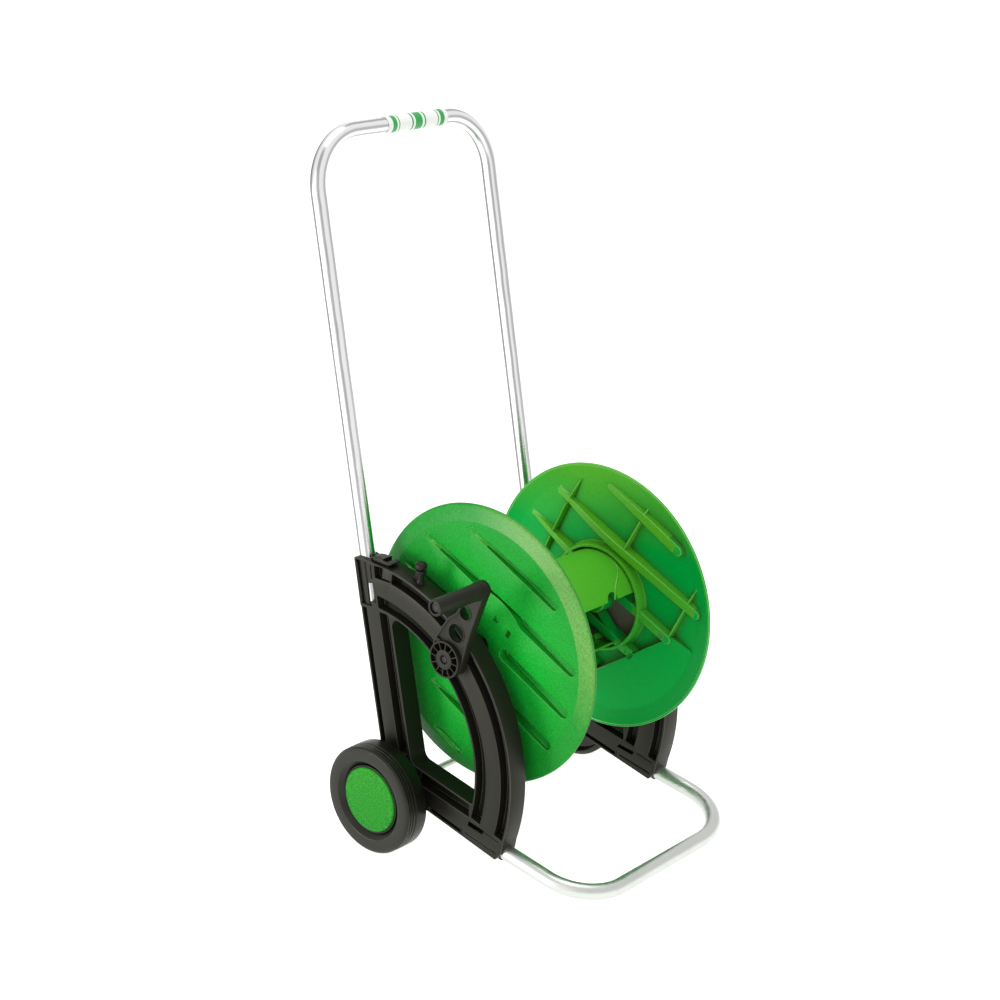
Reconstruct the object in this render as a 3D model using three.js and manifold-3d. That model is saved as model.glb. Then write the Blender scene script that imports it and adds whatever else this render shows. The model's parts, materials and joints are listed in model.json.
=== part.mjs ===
// Garden hose reel cart: two moulded side frames joined by a handle tube, a foot
// tube and a wheel axle, with a hose drum turned by a hand crank between them.
// Millimetres, +Z up. X runs along the drum and wheel axles (crank side at -X),
// -Y is the front (foot tube), +Y the back (wheels and handle).
import * as THREE from 'three';
import { mergeVertices } from 'three/addons/utils/BufferGeometryUtils.js';
import Module from 'manifold-3d';

const wasm = await Module();
wasm.setup();

// ---------------------------------------------------------------- dimensions
const DRUM_Z = 265.7;            // drum axis height, at y = 0
const AXLE_Y = 98, AXLE_Z = 67.5; // wheel axle
const WHEEL_R = 67.5;
const WHEEL_OUT = 207;           // |x| of the wheel's outer face
const WHEEL_IN = 171.3;          // |x| of the wheel's inner face
const FRAME_MID = 146.7;         // |x| of a side frame's middle plane
const FRAME_T = 27;              // side frame thickness
const FRAME_IN = FRAME_MID - FRAME_T / 2;
const FRAME_OUT = FRAME_MID + FRAME_T / 2;
const POCKET = 12;               // depth of the channels in each face
const ARC_Y = 137, ARC_Z = 123.8; // centre of the frame's quarter-round arch
const ARCH_R = 225.4;            // outer radius of the arch
const OPEN_R = 169.5;            // inner radius of the arch
const TUBE_R = 9.5, TUBE_BORE = 8.2;
const SOCKET_R = 9.95, SOCKET_OUT = 11.8, COLUMN_R = 11.4;
const HANDLE_BEND = [67, 67], FOOT_BEND = [60, 78]; // left and right bends
const HANDLE_TOP = [228, 841.3]; // y, z of the handle's cross bar
const FOOT_FRONT = [-194, 9.7];  // y, z of the foot's cross bar
const FLANGE_R = 170, FLANGE_FACE = 114.5, FLANGE_SKIN = 2.6;
const GROOVE_W = 13.5, GROOVE_D = 9;
const HUB_LAND = 71;             // flat land round the hub that the grooves stop at
const GROOVE_TILT = THREE.MathUtils.degToRad(27.43); // grooves fall to the front
const CORE_R = 62, CORE_T = 3;
const CRANK_TILT = THREE.MathUtils.degToRad(27.6);
const CRANK_LEN = 107;
const GAP = 0.3;
const ORIGIN = new THREE.Vector3(18, -17.486, 0); // puts the origin under the middle of the cart

// ------------------------------------------------------------------ materials
const mat = (color, roughness, metalness = 0) => new THREE.MeshStandardMaterial({ color, roughness, metalness });
const BLACK = mat(0x2b2a26, 0.45);
const DARK = mat(0x1d1c1a, 0.5);
const GREEN = mat(0x2f9a3c, 0.4);
const STEEL = mat(0xd6d6d4, 0.25, 1.0);
const WHITE = mat(0xf4f4f2, 0.5);
const ZINC = mat(0xb8b8b6, 0.35, 1.0);
const NYLON = mat(0xe6e2d6, 0.5);
const RUBBER = mat(0x141414, 0.8);

// -------------------------------------------------------------------- helpers
const rad = THREE.MathUtils.degToRad;
const V2 = (a, b) => new THREE.Vector2(a, b);
const V3 = (a, b, c) => new THREE.Vector3(a, b, c);

function solid(geo) {
  const g = geo.clone();
  g.deleteAttribute('normal');
  g.deleteAttribute('uv');
  const m = mergeVertices(g, 1e-4);
  return new wasm.Manifold(new wasm.Mesh({
    numProp: 3,
    vertProperties: new Float32Array(m.attributes.position.array),
    triVerts: new Uint32Array(m.index.array),
  }));
}

function geometryOf(s) {
  const m = s.getMesh();
  const g = new THREE.BufferGeometry();
  g.setAttribute('position', new THREE.BufferAttribute(new Float32Array(m.vertProperties), 3));
  g.setIndex(new THREE.BufferAttribute(new Uint32Array(m.triVerts), 1));
  g.computeVertexNormals();
  return g;
}

const TO_X = new THREE.Matrix4().makeBasis(V3(0, 1, 0), V3(0, 0, 1), V3(1, 0, 0));

// A (y, z) outline extruded along X from x0 to x1.
function slab(points, x0, x1, holes = []) {
  const shape = new THREE.Shape(points);
  for (const h of holes) shape.holes.push(new THREE.Path(h));
  const g = new THREE.ExtrudeGeometry(shape, { depth: x1 - x0, bevelEnabled: false, steps: 1 });
  g.translate(0, 0, x0);
  g.applyMatrix4(TO_X);
  return g;
}

// A closed (x, r) profile turned about a line along X through (y, z).
function latheX(profile, segments, y = 0, z = DRUM_Z, phase = 0) {
  let area = 0;
  for (let i = 0; i < profile.length; i++) {
    const [x0, r0] = profile[i], [x1, r1] = profile[(i + 1) % profile.length];
    area += x0 * r1 - x1 * r0;
  }
  const p = area < 0 ? profile.slice() : profile.slice().reverse();
  const onAxis = p.some(([, r]) => r < 1e-6);
  let pts;
  if (onAxis) {
    // start and end on the axis
    let i = 0;
    while (!(p[i][1] < 1e-6 && p[(i + p.length - 1) % p.length][1] < 1e-6)) i++;
    pts = p.slice(i).concat(p.slice(0, i));
  } else pts = p.concat([p[0]]);
  const g = new THREE.LatheGeometry(pts.map(([x, r]) => V2(Math.max(r, 0), x)), segments, phase);
  g.applyMatrix4(new THREE.Matrix4().makeBasis(V3(0, 0, 1), V3(1, 0, 0), V3(0, 1, 0)));
  g.translate(0, y, z);
  return g;
}

// Solid or hollow round bar between two points.
function bar(a, b, r, segments = 16, r2 = r) {
  const d = b.clone().sub(a);
  const g = new THREE.CylinderGeometry(r2, r, d.length(), segments, 1);
  g.applyQuaternion(new THREE.Quaternion().setFromUnitVectors(V3(0, 1, 0), d.clone().normalize()));
  g.translate((a.x + b.x) / 2, (a.y + b.y) / 2, (a.z + b.z) / 2);
  return g;
}

const barX = (x0, x1, y, z, r, segments = 24) => bar(V3(x0, y, z), V3(x1, y, z), r, segments);

const boxAt = (x0, x1, y0, y1, z0, z1) => {
  const g = new THREE.BoxGeometry(x1 - x0, y1 - y0, z1 - z0);
  g.translate((x0 + x1) / 2, (y0 + y1) / 2, (z0 + z1) / 2);
  return g;
};

function arc(cy, cz, r, a0, a1, n) {
  const out = [];
  for (let i = 0; i <= n; i++) {
    const a = rad(a0 + (a1 - a0) * i / n);
    out.push(V2(cy + r * Math.cos(a), cz + r * Math.sin(a)));
  }
  return out;
}
const archArc = (r, a0, a1, n) => arc(ARC_Y, ARC_Z, r, a0, a1, n);

// Rounds the marked corners of a polygon: each entry is [y, z] or [y, z, radius].
function rounded(corners, n = 4) {
  const out = [];
  corners.forEach((c, i) => {
    const r = c[2] || 0, P = V2(c[0], c[1]);
    if (!r) { out.push(P); return; }
    const A = corners[(i + corners.length - 1) % corners.length], B = corners[(i + 1) % corners.length];
    const u = V2(A[0], A[1]).sub(P).normalize(), v = V2(B[0], B[1]).sub(P).normalize();
    const half = Math.acos(THREE.MathUtils.clamp(u.dot(v), -1, 1)) / 2;
    const t = r / Math.tan(half), h = r / Math.sin(half);
    const C = P.clone().add(u.clone().add(v).normalize().multiplyScalar(h));
    const s = P.clone().add(u.clone().multiplyScalar(t)), e = P.clone().add(v.clone().multiplyScalar(t));
    const a0 = Math.atan2(s.y - C.y, s.x - C.x);
    let d = Math.atan2(e.y - C.y, e.x - C.x) - a0;
    while (d > Math.PI) d -= 2 * Math.PI;
    while (d < -Math.PI) d += 2 * Math.PI;
    for (let k = 0; k <= n; k++) out.push(V2(C.x + r * Math.cos(a0 + d * k / n), C.y + r * Math.sin(a0 + d * k / n)));
  });
  return out;
}

// Piecewise path through given stations, so straight runs take one step.
class Stations extends THREE.Curve {
  constructor(points, tangents) { super(); this.points = points; this.tangents = tangents; }
  at(list, t) { return list[Math.round(t * (list.length - 1))].clone(); }
  getPoint(t) { return this.at(this.points, t); }
  getPointAt(t) { return this.at(this.points, t); }
  getTangent(t) { return this.at(this.tangents, t); }
  getTangentAt(t) { return this.at(this.tangents, t); }
  getSpacedPoints() { return this.points.map((p) => p.clone()); }
}

// U-shaped tube: up the left leg, across, down the right leg. Each leg lies
// along dir from its end point; bend gives the two bend radii.
function uTube(endY, endZ, topY, topZ, bend, sides, boreSides, steps) {
  const up = V3(0, topY - endY, topZ - endZ), h = up.length();
  up.normalize();
  const at = (x, t) => V3(x, endY, endZ).add(up.clone().multiplyScalar(t));
  const pts = [at(-FRAME_MID, 0)], tans = [up.clone()];
  const acrossX = V3(1, 0, 0);
  const [bl, br] = bend;
  for (let i = 0; i <= steps; i++) {
    const a = i / steps * Math.PI / 2;
    pts.push(at(-FRAME_MID + bl - bl * Math.cos(a), h - bl + bl * Math.sin(a)));
    tans.push(up.clone().multiplyScalar(Math.cos(a)).add(acrossX.clone().multiplyScalar(Math.sin(a))));
  }
  for (let i = 0; i <= steps; i++) {
    const a = i / steps * Math.PI / 2;
    pts.push(at(FRAME_MID - br + br * Math.sin(a), h - br + br * Math.cos(a)));
    tans.push(up.clone().multiplyScalar(-Math.sin(a)).add(acrossX.clone().multiplyScalar(Math.cos(a))));
  }
  pts.push(at(FRAME_MID, 0));
  tans.push(up.clone().negate());
  const ring = (r, n) => Array.from({ length: n }, (_, i) => V2(r * Math.cos(2 * Math.PI * i / n), r * Math.sin(2 * Math.PI * i / n)));
  const shape = new THREE.Shape(ring(TUBE_R, sides));
  shape.holes.push(new THREE.Path(ring(TUBE_BORE, boreSides)));
  return new THREE.ExtrudeGeometry(shape, { steps: pts.length - 1, extrudePath: new Stations(pts, tans), bevelEnabled: false });
}

// The same piece on the other side of the cart.
function mirrorX(geo) {
  const g = geo.index ? geo.toNonIndexed() : geo.clone();
  const p = g.attributes.position;
  for (let i = 0; i < p.count; i += 3) {
    const a = [-p.getX(i), p.getY(i), p.getZ(i)];
    const b = [-p.getX(i + 1), p.getY(i + 1), p.getZ(i + 1)];
    const c = [-p.getX(i + 2), p.getY(i + 2), p.getZ(i + 2)];
    p.setXYZ(i, ...a); p.setXYZ(i + 1, ...c); p.setXYZ(i + 2, ...b);
  }
  g.deleteAttribute('normal');
  g.deleteAttribute('uv');
  const m = mergeVertices(g, 1e-5);
  m.computeVertexNormals();
  return m;
}

const group = new THREE.Group();
const cart = new THREE.Group();
cart.position.copy(ORIGIN);
group.add(cart);
const drum = new THREE.Group();
const wheels = new THREE.Group();
cart.add(drum, wheels);

function add(parent, name, geo, material) {
  const m = new THREE.Mesh(geo, material);
  m.name = name;
  parent.add(m);
  return m;
}
const asGeo = (x) => (x.getMesh ? geometryOf(x) : x);
// A left-hand piece and its mirror image.
function pair(parent, base, s, material) {
  const g = asGeo(s);
  add(parent, base + '_left', g, material);
  add(parent, base + '_right', mirrorX(g), material);
}

// ------------------------------------------------------------------ side frame
const upY = (y, z) => y + 0.1714 * (z - 252.5);      // lines along the sloping upright
const baseZ = (z, k, y) => z + k * y;                // lines along the sloping base
const legY = (z) => 135.9 + 0.16 * (z - DRUM_Z);     // handle leg axis
const footZ = (y) => 20.9 + 0.193 * (y + 136);       // foot leg axis
// tube screws: square to each tube, from behind the handle and from under the foot
const HANDLE_SCREW = { at: V3(-FRAME_MID, legY(320), 320), dir: V3(0, 1, -0.16).normalize() };
const FOOT_SCREW = { at: V3(-FRAME_MID, -50, footZ(-50)), dir: V3(0, 0.193, -1).normalize() };
const screwPoint = (sc, t, side = -1) => { const p = sc.at.clone().add(sc.dir.clone().multiplyScalar(t)); p.x *= -side; return p; };

function sideFrame() {
  const outline = [
    V2(160, 350), V2(149, 353), V2(139, 350.8),
    ...archArc(ARCH_R, 92.5, 199.5, 22),
    V2(-72.5, 35.5), V2(-63.75, 26.07), V2(44, 54.5),
    ...arc(AXLE_Y, AXLE_Z, 22, 260.2, 358.6, 5),
    V2(121.4, 127), V2(149.4, 290), V2(150.6, 292),
  ];
  // D-shaped opening: arch arc, upright edge, sloping floor
  const opening = [];
  {
    // fillet between the arch arc and the upright edge
    const r = 9;
    const n = V2(1, -0.1714).normalize();               // outward normal of the upright edge
    const p0 = V2(upY(94.5, 290), 290).sub(n.clone().multiplyScalar(r));
    const d = V2(0.1714, 1).normalize();
    const f = p0.clone().sub(V2(ARC_Y, ARC_Z));
    const R = OPEN_R - r;
    const bb = f.dot(d), cc = f.dot(f) - R * R;
    const c = p0.clone().add(d.clone().multiplyScalar(-bb + Math.sqrt(bb * bb - cc)));
    const onArc = c.clone().sub(V2(ARC_Y, ARC_Z)).normalize();
    const a0 = Math.atan2(-n.y, n.x) * -1;              // from the edge
    const aEdge = Math.atan2(n.y, n.x), aArc = Math.atan2(onArc.y, onArc.x);
    for (let i = 0; i <= 3; i++) {
      const a = aEdge + (aArc - aEdge) * i / 3;
      opening.push(V2(c.x + r * Math.cos(a), c.y + r * Math.sin(a)));
    }
    // arch arc down to the sloping floor
    let aEnd = 180;
    for (let a = 180; a < 205; a += 0.01) {
      const y = ARC_Y + OPEN_R * Math.cos(rad(a)), z = ARC_Z + OPEN_R * Math.sin(rad(a));
      if (z <= baseZ(92.5, 0.233, y)) { aEnd = a; break; }
    }
    const aStart = THREE.MathUtils.radToDeg(aArc);
    opening.push(...archArc(OPEN_R, aStart, aEnd, 15).slice(1));
    // bottom rear corner
    const cy = 69.87, cz = 108.78;
    const u = V2(-1, -0.233).normalize(), v = V2(0.1714, 1).normalize();
    const half = Math.acos(u.dot(v)) / 2, rr = 12;
    const C = V2(cy, cz).add(u.clone().add(v).normalize().multiplyScalar(rr / Math.sin(half)));
    const s = V2(cy, cz).add(u.clone().multiplyScalar(rr / Math.tan(half)));
    const e = V2(cy, cz).add(v.clone().multiplyScalar(rr / Math.tan(half)));
    const b0 = Math.atan2(s.y - C.y, s.x - C.x);
    let bd = Math.atan2(e.y - C.y, e.x - C.x) - b0;
    while (bd < -Math.PI) bd += 2 * Math.PI;
    while (bd > Math.PI) bd -= 2 * Math.PI;
    for (let i = 0; i <= 3; i++) opening.push(V2(C.x + rr * Math.cos(b0 + bd * i / 3), C.y + rr * Math.sin(b0 + bd * i / 3)));
  }
  let s = solid(slab(outline, -FRAME_OUT, -FRAME_IN));
  s = s.subtract(solid(slab(opening, -FRAME_OUT - 1, -FRAME_IN + 1)));
  // socket sleeves round the tube ends
  const legTop = V3(-FRAME_MID, legY(348.2), 348.2), legEnd = V3(-FRAME_MID, legY(292.6), 292.6);
  const footTop = V3(-FRAME_MID, -12, footZ(-12)), footMouth = V3(-FRAME_MID, -73.5, footZ(-73.5));
  // wells in both faces that leave the handle socket standing as a round column
  const well = [V2(legY(294.5) - 9.6, 294.5), V2(147.6, 294.5), V2(157.2, 348.5), V2(legY(348.5) - 9.6, 348.5)];
  s = s.subtract(solid(slab(well, -FRAME_OUT - 1, -FRAME_OUT + 9.5)));
  s = s.subtract(solid(slab(well, -FRAME_IN - 9.5, -FRAME_IN + 1)));
  s = s.add(solid(bar(legEnd, legTop, COLUMN_R, 16)));
  s = s.add(solid(bar(footTop, footMouth, SOCKET_OUT, 16)));
  // channels, the same on both faces, with a web left between them
  const A = [...archArc(222.8, 100.4, 198.3, 15), ...archArc(210, 198.3, 100.4, 15)];
  const B = [V2(122.9, 310.2), ...archArc(187, 95.6, 198.7, 12), ...archArc(172, 198.7, 96.2, 12), V2(120.3, 295.1)];
  const C = [V2(upY(97.7, 118), 118), V2(upY(113, 118), 118), V2(upY(113, 290), 290), V2(upY(97.7, 290), 290)];
  const D = [V2(upY(133.75, 118), 118), V2(upY(140.5, 118), 118), V2(upY(140.5, 291), 291), V2(upY(133.75, 291), 291)];
  const E = [V2(-23, baseZ(73.2, 0.22, -23)), V2(65, baseZ(73.2, 0.22, 65)), V2(65, baseZ(90.2, 0.233, 65)), V2(-23, baseZ(90.2, 0.233, -23))];
  const F = [V2(-12, baseZ(45.6, 0.264, -12)), V2(40, baseZ(45.6, 0.264, 40)), V2(40, baseZ(50.5, 0.262, 40)), V2(-12, baseZ(50.5, 0.262, -12))];
  const K = [V2(113.4, 334.4), V2(125.2, 331.6), V2(126.6, 346.4), V2(111.6, 347.6)];
  const H = [V2(-65, 31), V2(-15, 41), V2(-15, 44), V2(-65, 34)];
  const cut = (pts, depth) => {
    s = s.subtract(solid(slab(pts, -FRAME_OUT - 1, -FRAME_OUT + depth)));
    s = s.subtract(solid(slab(pts, -FRAME_IN - depth, -FRAME_IN + 1)));
  };
  for (const p of [A, B, C, D, E, F]) cut(p, POCKET);
  cut(K, 4);
  cut(H, 1.5);
  // windows in the outer face that show the tube ends
  s = s.subtract(solid(slab([V2(123.8, 300.2), V2(134.2, 298.2), V2(137.4, 322.6), V2(127.2, 324.6)], -FRAME_OUT - 1, -FRAME_OUT + 5.2)));
  s = s.subtract(solid(slab([V2(-23.5, 63.2), V2(-47.2, 58.2), V2(-44.6, 52.2), V2(-21.4, 57.2)], -FRAME_OUT - 1, -FRAME_MID)));
  // bearing boss on the drum axis
  s = s.add(solid(barX(-FRAME_OUT, -FRAME_IN, 0, DRUM_Z, 22, 24)));
  s = s.subtract(solid(barX(-FRAME_OUT - 1, -FRAME_IN + 1, 0, DRUM_Z, 17.35, 24)));
  // wheel axle bore
  s = s.subtract(solid(barX(-FRAME_OUT - 1, -FRAME_IN + 1, AXLE_Y, AXLE_Z, 4.35, 12)));
  // tube sockets, closed at the inner end
  const up = V3(0, 0.16, 1).normalize();
  s = s.subtract(solid(bar(legEnd, legTop.clone().add(up.clone().multiplyScalar(8)), SOCKET_R, 16)));
  const fd = V3(0, -1, -0.193).normalize();
  s = s.subtract(solid(bar(V3(-FRAME_MID, -11.6, footZ(-11.6)), footMouth.clone().add(fd.multiplyScalar(8)), SOCKET_R, 16)));
  // screw holes for the tube screws
  s = s.subtract(solid(bar(screwPoint(HANDLE_SCREW, 6), screwPoint(HANDLE_SCREW, 16), 2.2, 10)));
  s = s.subtract(solid(bar(screwPoint(FOOT_SCREW, 6), screwPoint(FOOT_SCREW, 18), 2.2, 10)));
  return s;
}
pair(cart, 'side_frame', sideFrame(), BLACK);

// ---------------------------------------------------------------------- tubes
{
  let t = solid(uTube(legY(293.1), 293.1, HANDLE_TOP[0], HANDLE_TOP[1], HANDLE_BEND, 16, 8, 8));
  for (const k of [-1, 1]) t = t.subtract(solid(bar(screwPoint(HANDLE_SCREW, 4, k), screwPoint(HANDLE_SCREW, 12, k), 2.1, 8)));
  add(cart, 'handle_tube', geometryOf(t), STEEL);
  const sleeve = latheX([[-28.9, 9.8], [73.9, 9.8], [73.9, 10.3], [-28.9, 10.3]], 24, HANDLE_TOP[0], HANDLE_TOP[1]);
  add(cart, 'handle_sleeve', sleeve, WHITE);
  let f = solid(uTube(-12.2, footZ(-12.2), FOOT_FRONT[0], FOOT_FRONT[1], FOOT_BEND, 16, 8, 8));
  for (const k of [-1, 1]) f = f.subtract(solid(bar(screwPoint(FOOT_SCREW, 4, k), screwPoint(FOOT_SCREW, 12, k), 2.1, 8)));
  add(cart, 'foot_tube', geometryOf(f), STEEL);
}
// tube screws: head outside the socket, shank through the sleeve and tube wall
function tubeScrew(sc) {
  return solid(bar(screwPoint(sc, 12.1), screwPoint(sc, 14.3), 3.6, 12)).add(solid(bar(screwPoint(sc, 4.5), screwPoint(sc, 13), 1.8, 8)));
}
pair(cart, 'handle_screw', tubeScrew(HANDLE_SCREW), ZINC);
pair(cart, 'foot_screw', tubeScrew(FOOT_SCREW), ZINC);

// ------------------------------------------------------------ pegs and clips
function nozzlePeg() {
  const lathe = [[0, 0], [5.6, 0], [3.8, 4.2], [3.8, 11.2], [6.6, 12], [6.8, 15.6], [3.2, 16], [3.2, 18.6], [7.3, 19], [7.2, 23.4], [4.6, 25.6], [0, 26.2]];
  const g = new THREE.LatheGeometry(lathe.map(([r, h]) => V2(r, h)), 12);
  g.rotateX(Math.PI / 2);
  g.rotateX(rad(4.6));
  g.translate(-FRAME_MID, 63.6, 337.2);
  let p = solid(g);
  p = p.add(solid(slab([V2(62, 334), V2(78, 334), V2(77.8, 337.2), V2(66.5, 350.5), V2(62, 350.5)], -FRAME_MID - 2, -FRAME_MID + 2)));
  return p.subtract(solid(barX(-FRAME_MID - 12, -FRAME_MID + 12, ARC_Y, ARC_Z, ARCH_R + 0.5, 120)));
}
pair(cart, 'nozzle_peg', nozzlePeg(), BLACK);
pair(cart, 'hose_clip', slab([V2(136.8, 351.2), V2(136.4, 354.6), V2(130, 355.6), V2(117, 355.6), V2(115.6, 353.4), V2(103.2, 352.7), V2(102.2, 351),
  V2(107.2, 349.8), V2(107.2, 348.2), V2(127.2, 350)], -155, -138.4), BLACK);

// --------------------------------------------------------------------- wheels
const AXLE_END = 200;
add(cart, 'wheel_axle', barX(-AXLE_END, AXLE_END, AXLE_Y, AXLE_Z, 4, 16), ZINC);
pair(cart, 'wheel_spacer', latheX([[-171, 4.3], [-160.5, 4.3], [-160.5, 10], [-171, 10]], 16, AXLE_Y, AXLE_Z), DARK);
pair(cart, 'axle_clip', latheX([[-195.8, 4.3], [-194.6, 4.3], [-194.6, 9], [-195.8, 9]], 12, AXLE_Y, AXLE_Z), ZINC);
function wheel() {
  const o = -WHEEL_OUT;
  const w = latheX([
    [o + 14, 4.06], [-WHEEL_IN, 4.06], [-WHEEL_IN, 12], [o + 22, 13], [o + 22, 60],
    [-WHEEL_IN, 61.3], [-WHEEL_IN - 4, WHEEL_R], [o + 2.7, WHEEL_R], [o, 64.4], [o, 50], [o + 9, 43.2], [o + 14, 41.6],
  ], 40, AXLE_Y, AXLE_Z);
  let s = solid(w);
  for (let k = 0; k < 6; k++) {
    const a = k * Math.PI / 3 + 0.2;
    const rib = new THREE.BoxGeometry(13.5, 2, 49);
    rib.translate(o + 28.2, 0, 36);
    rib.rotateX(a);
    rib.translate(0, AXLE_Y, AXLE_Z);
    s = s.add(solid(rib));
  }
  return s;
}
pair(wheels, 'wheel', wheel(), BLACK);
pair(wheels, 'hub_cap', latheX([
  [-204.6, 0], [-203.6, 37.5], [-201.8, 40.7], [-197.6, 40.7], [-197.6, 38.5], [-202.2, 37], [-202.2, 0],
], 36, AXLE_Y, AXLE_Z), GREEN);

// ----------------------------------------------------------------------- drum
// Ridge or groove bars lie along the tilted direction, at set offsets from the axis.
const along = V2(-Math.cos(GROOVE_TILT), -Math.sin(GROOVE_TILT));   // (y, z): falls to the front
const across = V2(-Math.sin(GROOVE_TILT), Math.cos(GROOVE_TILT));
const onDisc = (s, o) => V2(along.x * s + across.x * o, DRUM_Z + along.y * s + across.y * o);
function stadium(o, s0, s1, w, n = 3) {
  const pts = [];
  for (let i = 0; i <= n; i++) { const a = -Math.PI / 2 + Math.PI * i / n; pts.push(onDisc(s1 + w / 2 * Math.cos(a), o + w / 2 * Math.sin(a))); }
  for (let i = 0; i <= n; i++) { const a = Math.PI / 2 + Math.PI * i / n; pts.push(onDisc(s0 + w / 2 * Math.cos(a), o + w / 2 * Math.sin(a))); }
  return pts;
}
const reach = (o, r) => Math.sqrt(Math.max(r * r - o * o, 0));
const FLANGE_IN = FLANGE_FACE - FLANGE_SKIN;
function flangeBlank(side) {
  const f = side * FLANGE_FACE, k = -side; // k points to the middle of the drum
  return latheX([
    [f, 14], [f, 149.5], [f + k * 3.6, 168], [f + k * 5, FLANGE_R], [f + k * 8.4, FLANGE_R], [f + k * 8.4, 167.4],
    [f + k * FLANGE_SKIN, 146], [f + k * FLANGE_SKIN, 66.8], [f + k * 13.5, 66.8], [f + k * 13.5, 63],
    [f + k * FLANGE_SKIN, 63], [f + k * FLANGE_SKIN, 14],
  ], 48, 0, DRUM_Z);
}
// Grooves on one face whose backs stand as ridges on the other. The hub keeps a flat land.
function groovedDisc(side, offsets) {
  let s = solid(flangeBlank(side));
  const f = (d) => side * (FLANGE_FACE - d);
  const plate = (pts, d0, d1) => solid(slab(pts, Math.min(f(d0), f(d1)), Math.max(f(d0), f(d1))));
  const keepOut = (r) => solid(barX(Math.min(f(-3), f(25)), Math.max(f(-3), f(25)), 0, DRUM_Z, r, 48));
  const land = keepOut(HUB_LAND), ring = keepOut(66);
  for (const o of offsets) {
    const spans = [];
    const e = reach(o, 144) - 2;
    if (Math.abs(o) < 60) { const i = reach(o, 60); spans.push([-e, -i], [i, e]); } else spans.push([-e, e]);
    for (const [a, b] of spans) {
      if (b - a < 16) continue;
      s = s.add(plate(stadium(o, a, b, GROOVE_W + 4), 1, GROOVE_D + FLANGE_SKIN).subtract(ring));
      s = s.subtract(plate(stadium(o, a + 1, b - 1, GROOVE_W), -1, GROOVE_D).subtract(land));
    }
  }
  return s;
}
const squareHole = (x0, x1, s0, s1, o0, o1) => solid(slab([onDisc(s0, o0), onDisc(s1, o0), onDisc(s1, o1), onDisc(s0, o1)], x0, x1));
// near disc
function flangeLeft() {
  let s = groovedDisc(-1, [120.8, 67.5, 14.3, -39, -92.3, -136]);
  // square socket for the crank shaft
  s = s.add(solid(barX(-FLANGE_FACE, -FLANGE_FACE + 20, 0, DRUM_Z, 17, 20)));
  s = s.subtract(solid(boxAt(-FLANGE_FACE - 1, -FLANGE_FACE + 21, -9.3, 9.3, DRUM_Z - 9.3, DRUM_Z + 9.3)));
  // two small moulding windows beside the hub
  s = s.subtract(squareHole(-FLANGE_FACE - 1, -FLANGE_FACE + 5, 1.8, 8.8, 43, 50));
  s = s.subtract(squareHole(-FLANGE_FACE - 1, -FLANGE_FACE + 5, 24, 31, 37.5, 47.5));
  return s;
}
// far disc, with a raised flat panel across its lower front
function flangeRight() {
  let s = groovedDisc(1, [133.3, 79.3, 25.3, -28.7, -82.7]);
  // panel: the segment beyond a chord 82.5 from the axis
  const chord = Math.atan2(-0.846, -0.533);
  const segment = (d, r, n) => {
    const half = Math.acos(d / r), pts = [];
    for (let i = 0; i <= n; i++) { const a = chord - half + 2 * half * i / n; pts.push(V2(r * Math.cos(a), DRUM_Z + r * Math.sin(a))); }
    return pts;
  };
  const x = FLANGE_FACE;
  s = s.add(solid(slab(segment(82.5, 147, 20), x - GROOVE_D - FLANGE_SKIN, x - 1)));
  s = s.subtract(solid(slab(segment(85, 144.5, 20), x - GROOVE_D, x + 1)));
  s = s.add(solid(barX(FLANGE_FACE - 20, FLANGE_FACE, 0, DRUM_Z, 17, 20)));
  s = s.subtract(solid(barX(FLANGE_FACE - 21, FLANGE_FACE + 1, 0, DRUM_Z, 12.4, 20)));
  for (const [y, z] of SCREWS) s = s.subtract(solid(barX(FLANGE_FACE - 4, FLANGE_FACE + 1, y, z, 2.2, 8)));
  return s;
}
// angles round the core, from the front, over the top
const round = (deg, r) => V2(-r * Math.cos(rad(deg)), DRUM_Z + r * Math.sin(rad(deg)));
const SCREWS = [70, 150, 225, 275].map((a) => { const p = round(a, 51); return [p.x, p.y]; });
add(drum, 'flange_left', geometryOf(flangeLeft()), GREEN);
add(drum, 'flange_right', geometryOf(flangeRight()), GREEN);

function shell(a0, a1, n, screws, x0, x1) {
  const outer = [], inner = [];
  for (let i = 0; i <= n; i++) { const a = a0 + (a1 - a0) * i / n; outer.push(round(a, CORE_R)); inner.unshift(round(a, CORE_R - CORE_T)); }
  let s = solid(slab(outer.concat(inner), x0, x1));
  for (const k of screws) {
    const [y, z] = SCREWS[k];
    const d = V2(y, z - DRUM_Z).normalize();
    const q = V2(y, z).add(d.clone().multiplyScalar(9.4)), t = V2(-d.y, d.x).multiplyScalar(1.5);
    const c = V2(y, z);
    let boss = solid(barX(x1 - 20, x1, y, z, 4.6, 10));
    boss = boss.add(solid(slab([c.clone().add(t), c.clone().sub(t), q.clone().sub(t), q.clone().add(t)], x1 - 20, x1)));
    s = s.add(boss).subtract(solid(barX(x1 - 18, x1 + 1, y, z, 1.9, 8)));
  }
  return s;
}
const SHELL_X = FLANGE_IN - GAP;
{
  let up = shell(19, 198.6, 18, [0, 1], -SHELL_X, SHELL_X);
  // half-round notch in the front edge, beside the far disc
  up = up.subtract(solid(bar(V3(63, -70, DRUM_Z + 20.2), V3(63, -48, DRUM_Z + 20.2), 10, 16)));
  add(drum, 'core_shell_upper', geometryOf(up), GREEN);
  add(drum, 'core_shell_lower', geometryOf(shell(199.6, 300, 10, [2, 3], -SHELL_X, SHELL_X)), GREEN);
}
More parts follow.
